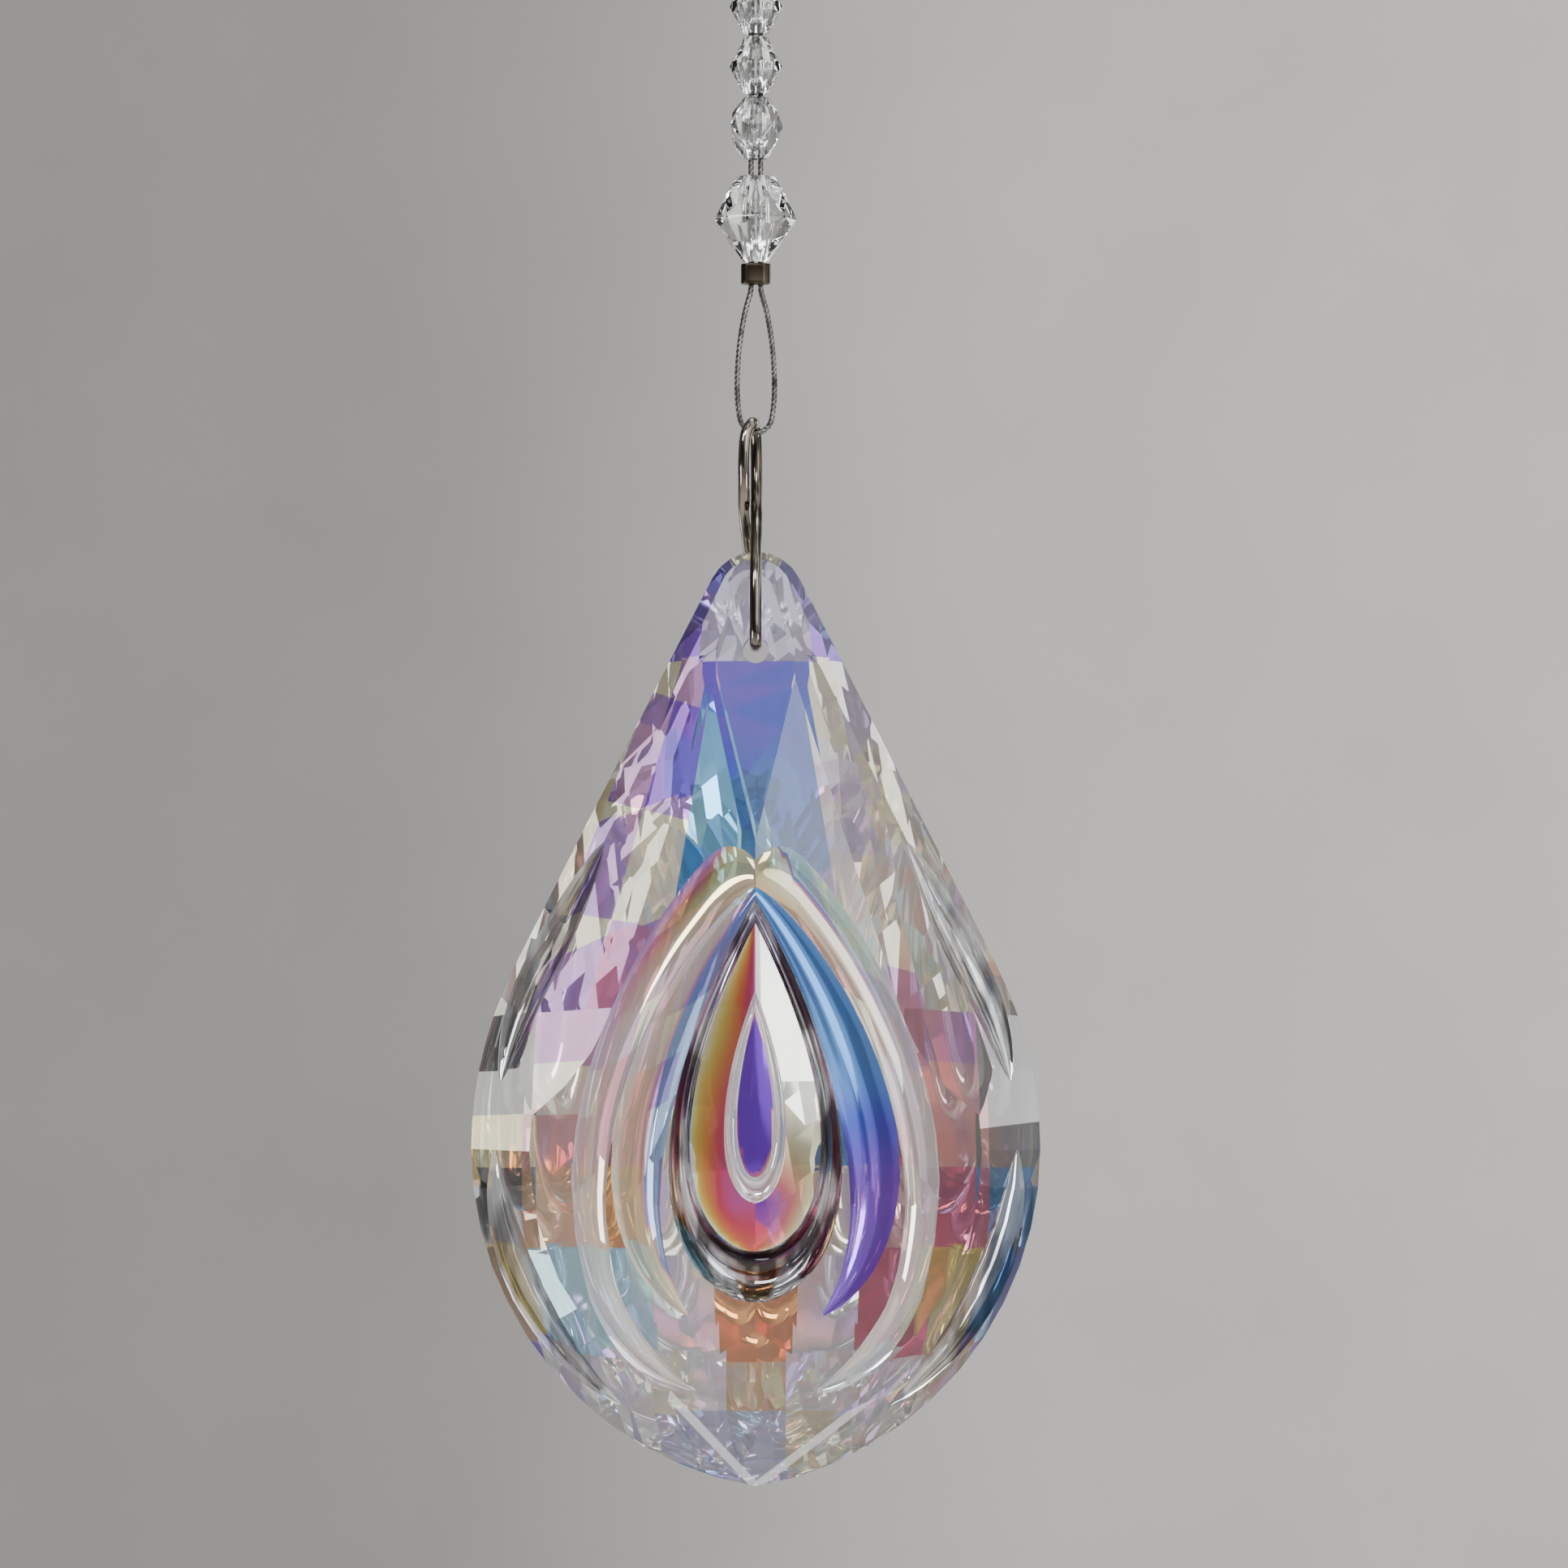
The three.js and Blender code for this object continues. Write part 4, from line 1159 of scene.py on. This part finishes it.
def pinPoints():
    wire, bend = pin["wire"], pin["bendRadius"]
    crossing = eyeTop - pin["height"]
    out = {}
    for side, facets in ((-1, frontFacets), (1, backFacets)):
        face = min(depthAt(plane, 0, crossing - drop["top"]) for _, _, plane in facets)
        out[side] = face + pin["faceClearance"] + wire / 2

    # out of the hole and round the corner
    def leg(side):
        far, corner = out[side], 0.29 * bend
        return [(0, side * pin["endGap"] / 2, crossing), (0, side * (far - bend) * 0.5, crossing),
                (0, side * (far - bend), crossing), (0, side * (far - corner), crossing + corner),
                (0, side * far, crossing + bend), (0, side * far, crossing + 3.2 * bend)]

    step = (wire + pin["strandGap"]) / 2
    rightX, leftX = step - pin["lean"], -step - pin["lean"]
    neckHeight = pin["neckHeight"]
    neck = crossing + neckHeight
    eyeOut = (pin["eyeDepth"] - wire) / 2
    rise = eyeTop - neck

    # half of the eye
    def overTop(side, x):
        towards = -pin["topLean"] - x
        return [(x, side * 0.72 * eyeOut, neck + 0.3 * rise), (x, side * eyeOut, neck + 0.56 * rise),
                (x + 0.25 * towards, side * 0.88 * eyeOut, eyeTop - 0.13 * rise),
                (x + 0.8 * towards, side * 0.48 * eyeOut, eyeTop - 0.018 * rise)]

    # from the leg in to the neck, where both strands meet
    def climb(side, x):
        return [(x * 0.3, side * out[side] * 0.9, crossing + 0.52 * neckHeight),
                (x * 0.7, side * out[side] * 0.55, neck - 0.25 * neckHeight),
                (x, side * 0.2 * wire, neck)]

    return (leg(-1) + climb(-1, rightX) + overTop(1, rightX) + [(-pin["topLean"], 0, eyeTop)]
            + overTop(-1, leftX)[::-1] + climb(1, leftX)[::-1] + leg(1)[::-1])


pinRoute = smoothRoute(pinPoints(), 0.12)
pinPiece = newPiece("hangerPin", *sweep(pinRoute, lambda t: circle(pin["wire"] / 2, 24), (1, 0, 0)), [nickel])
settle(pinPiece, "nickel_wire", "hanger_pin")


# stage and light

studio = {"wallY": 900.0, "floorZ": -620.0, "wall": (0.33, 0.323, 0.308), "floor": (0.72, 0.71, 0.69),
          "shade": 0.42, "shadeFrom": -110.0, "shadeTo": 70.0}   # of the wall: painted shade, darker to the left


def stageSheet(name, corners, colour, paintedWallShade=False):
    material, tree, shader = newMaterial(name)
    noise = noiseBump(tree, shader, 18.0, 0.15, 0.002, detail=6.0)
    paint = rampBetween(tree, noise, [(place, tuple(c * share for c in colour))
                                      for place, share in ((0.3, 0.96), (0.7, 1.03))])
    # painted shade: the colour darkens towards the left, standing in for light falling off across the wall
    if paintedWallShade:
        where = addNode(tree, "TexCoord", {}).outputs["Object"]
        across = addNode(tree, "SeparateXYZ", {"Vector": where}).outputs["X"]
        fade = addNode(tree, "MapRange", {"Value": across, "From Min": studio["shadeFrom"] * mm,
                                          "From Max": studio["shadeTo"] * mm,
                                          "To Min": 1 - studio["shade"]}, interpolation_type="SMOOTHSTEP")
        times = addNode(tree, "VectorMath", {0: paint, "Scale": fade.outputs["Result"]}, operation="SCALE")
        paint = times.outputs["Vector"]
    feed(tree, shader, {"Roughness": 0.9, "Base Color": paint})
    sheet = newPiece(name, corners, [(0, 1, 2, 3)], [material], smooth=False)
    return sheet


wide, y, z = 3000.0, studio["wallY"], studio["floorZ"]
stageSheet("backWall", [(-wide, y, z), (wide, y, z), (wide, y, z + 3200), (-wide, y, z + 3200)],
           studio["wall"], paintedWallShade=True)
stageSheet("floor", [(-wide, -wide, z), (wide, -wide, z), (wide, y, z), (-wide, y, z)], studio["floor"])

# centre, width and height, power, colour and, unless it is the drop, what it points at
dropMiddle = (0, 0, -90)
lights = {
    "highRight": {"at": (560, -800, 240), "size": (380, 520), "power": 2.2, "colour": (0.97, 0.99, 1.0)},
    "highLeft": {"at": (-750, -800, 420), "size": (240, 300), "power": 5.0, "colour": (1.0, 0.98, 0.94)},
    "highMiddle": {"at": (-170, -840, 460), "size": (360, 200), "power": 6.0, "colour": grey(1.0)},
    "lowLeft": {"at": (-900, -400, -300), "size": (300, 300), "power": 3.0, "colour": (1.0, 1.0, 0.98)},
    "lowRight": {"at": (760, -520, -430), "size": (260, 260), "power": 3.0, "colour": (1.0, 0.99, 0.97)},
    "behindLeft": {"at": (-600, 520, -440), "size": (300, 300), "power": 1.6, "colour": grey(1.0)},
    "behindRight": {"at": (430, 560, -370), "size": (220, 240), "power": 0.9, "colour": (1.0, 0.99, 0.95)},
    "skylight": {"at": (100, 200, 1100), "size": (600, 600), "power": 8.0, "colour": grey(1.0)},
    "wallWash": {"at": (620, 600, -60), "size": (300, 500), "power": 4.0, "colour": (1.0, 0.99, 0.98),
                 "towards": (60, 900, -90)},
}
for name, light in lights.items():
    data = bpy.data.lights.new(name, "AREA")
    data.shape = "RECTANGLE"
    data.size, data.size_y = (length * mm for length in light["size"])
    data.energy = light["power"]
    data.color = light["colour"]
    lamp = bpy.data.objects.new(name, data)
    lamp.location = Vector(light["at"]) * mm
    target = Vector(light.get("towards", dropMiddle)) * mm
    lamp.rotation_euler = (target - lamp.location).to_track_quat("-Z", "Y").to_euler()
    bpy.context.scene.collection.objects.link(lamp)

# the room is brighter to the right and above, and has brighter and darker areas all round
room = {"dark": (0.08, 0.08, 0.085), "light": (1.2, 1.21, 1.24), "towards": (0.5, -0.2, 0.65),
        "areas": 2.6, "areaShades": [(0.44, grey(0.3)), (0.58, grey(2.2))]}
world = bpy.data.worlds.new("room")
bpy.context.scene.world = world
world.use_nodes = True
tree = world.node_tree
direction = addNode(tree, "TexCoord", {}).outputs["Generated"]
towards = addNode(tree, "VectorMath", {0: direction, 1: room["towards"]}, operation="DOT_PRODUCT")
shade = rampBetween(tree, towards.outputs["Value"], [(0.0, room["dark"]), (1.0, room["light"])])
areas = addNode(tree, "TexNoise", {"Scale": room["areas"], "Detail": 0.5, "Vector": direction})
areaShade = rampBetween(tree, areas.outputs["Fac"], room["areaShades"])
lit = addNode(tree, "VectorMath", {0: shade, 1: areaShade}, operation="MULTIPLY").outputs["Vector"]
feed(tree, tree.nodes["Background"], {"Color": lit, "Strength": 1.0})
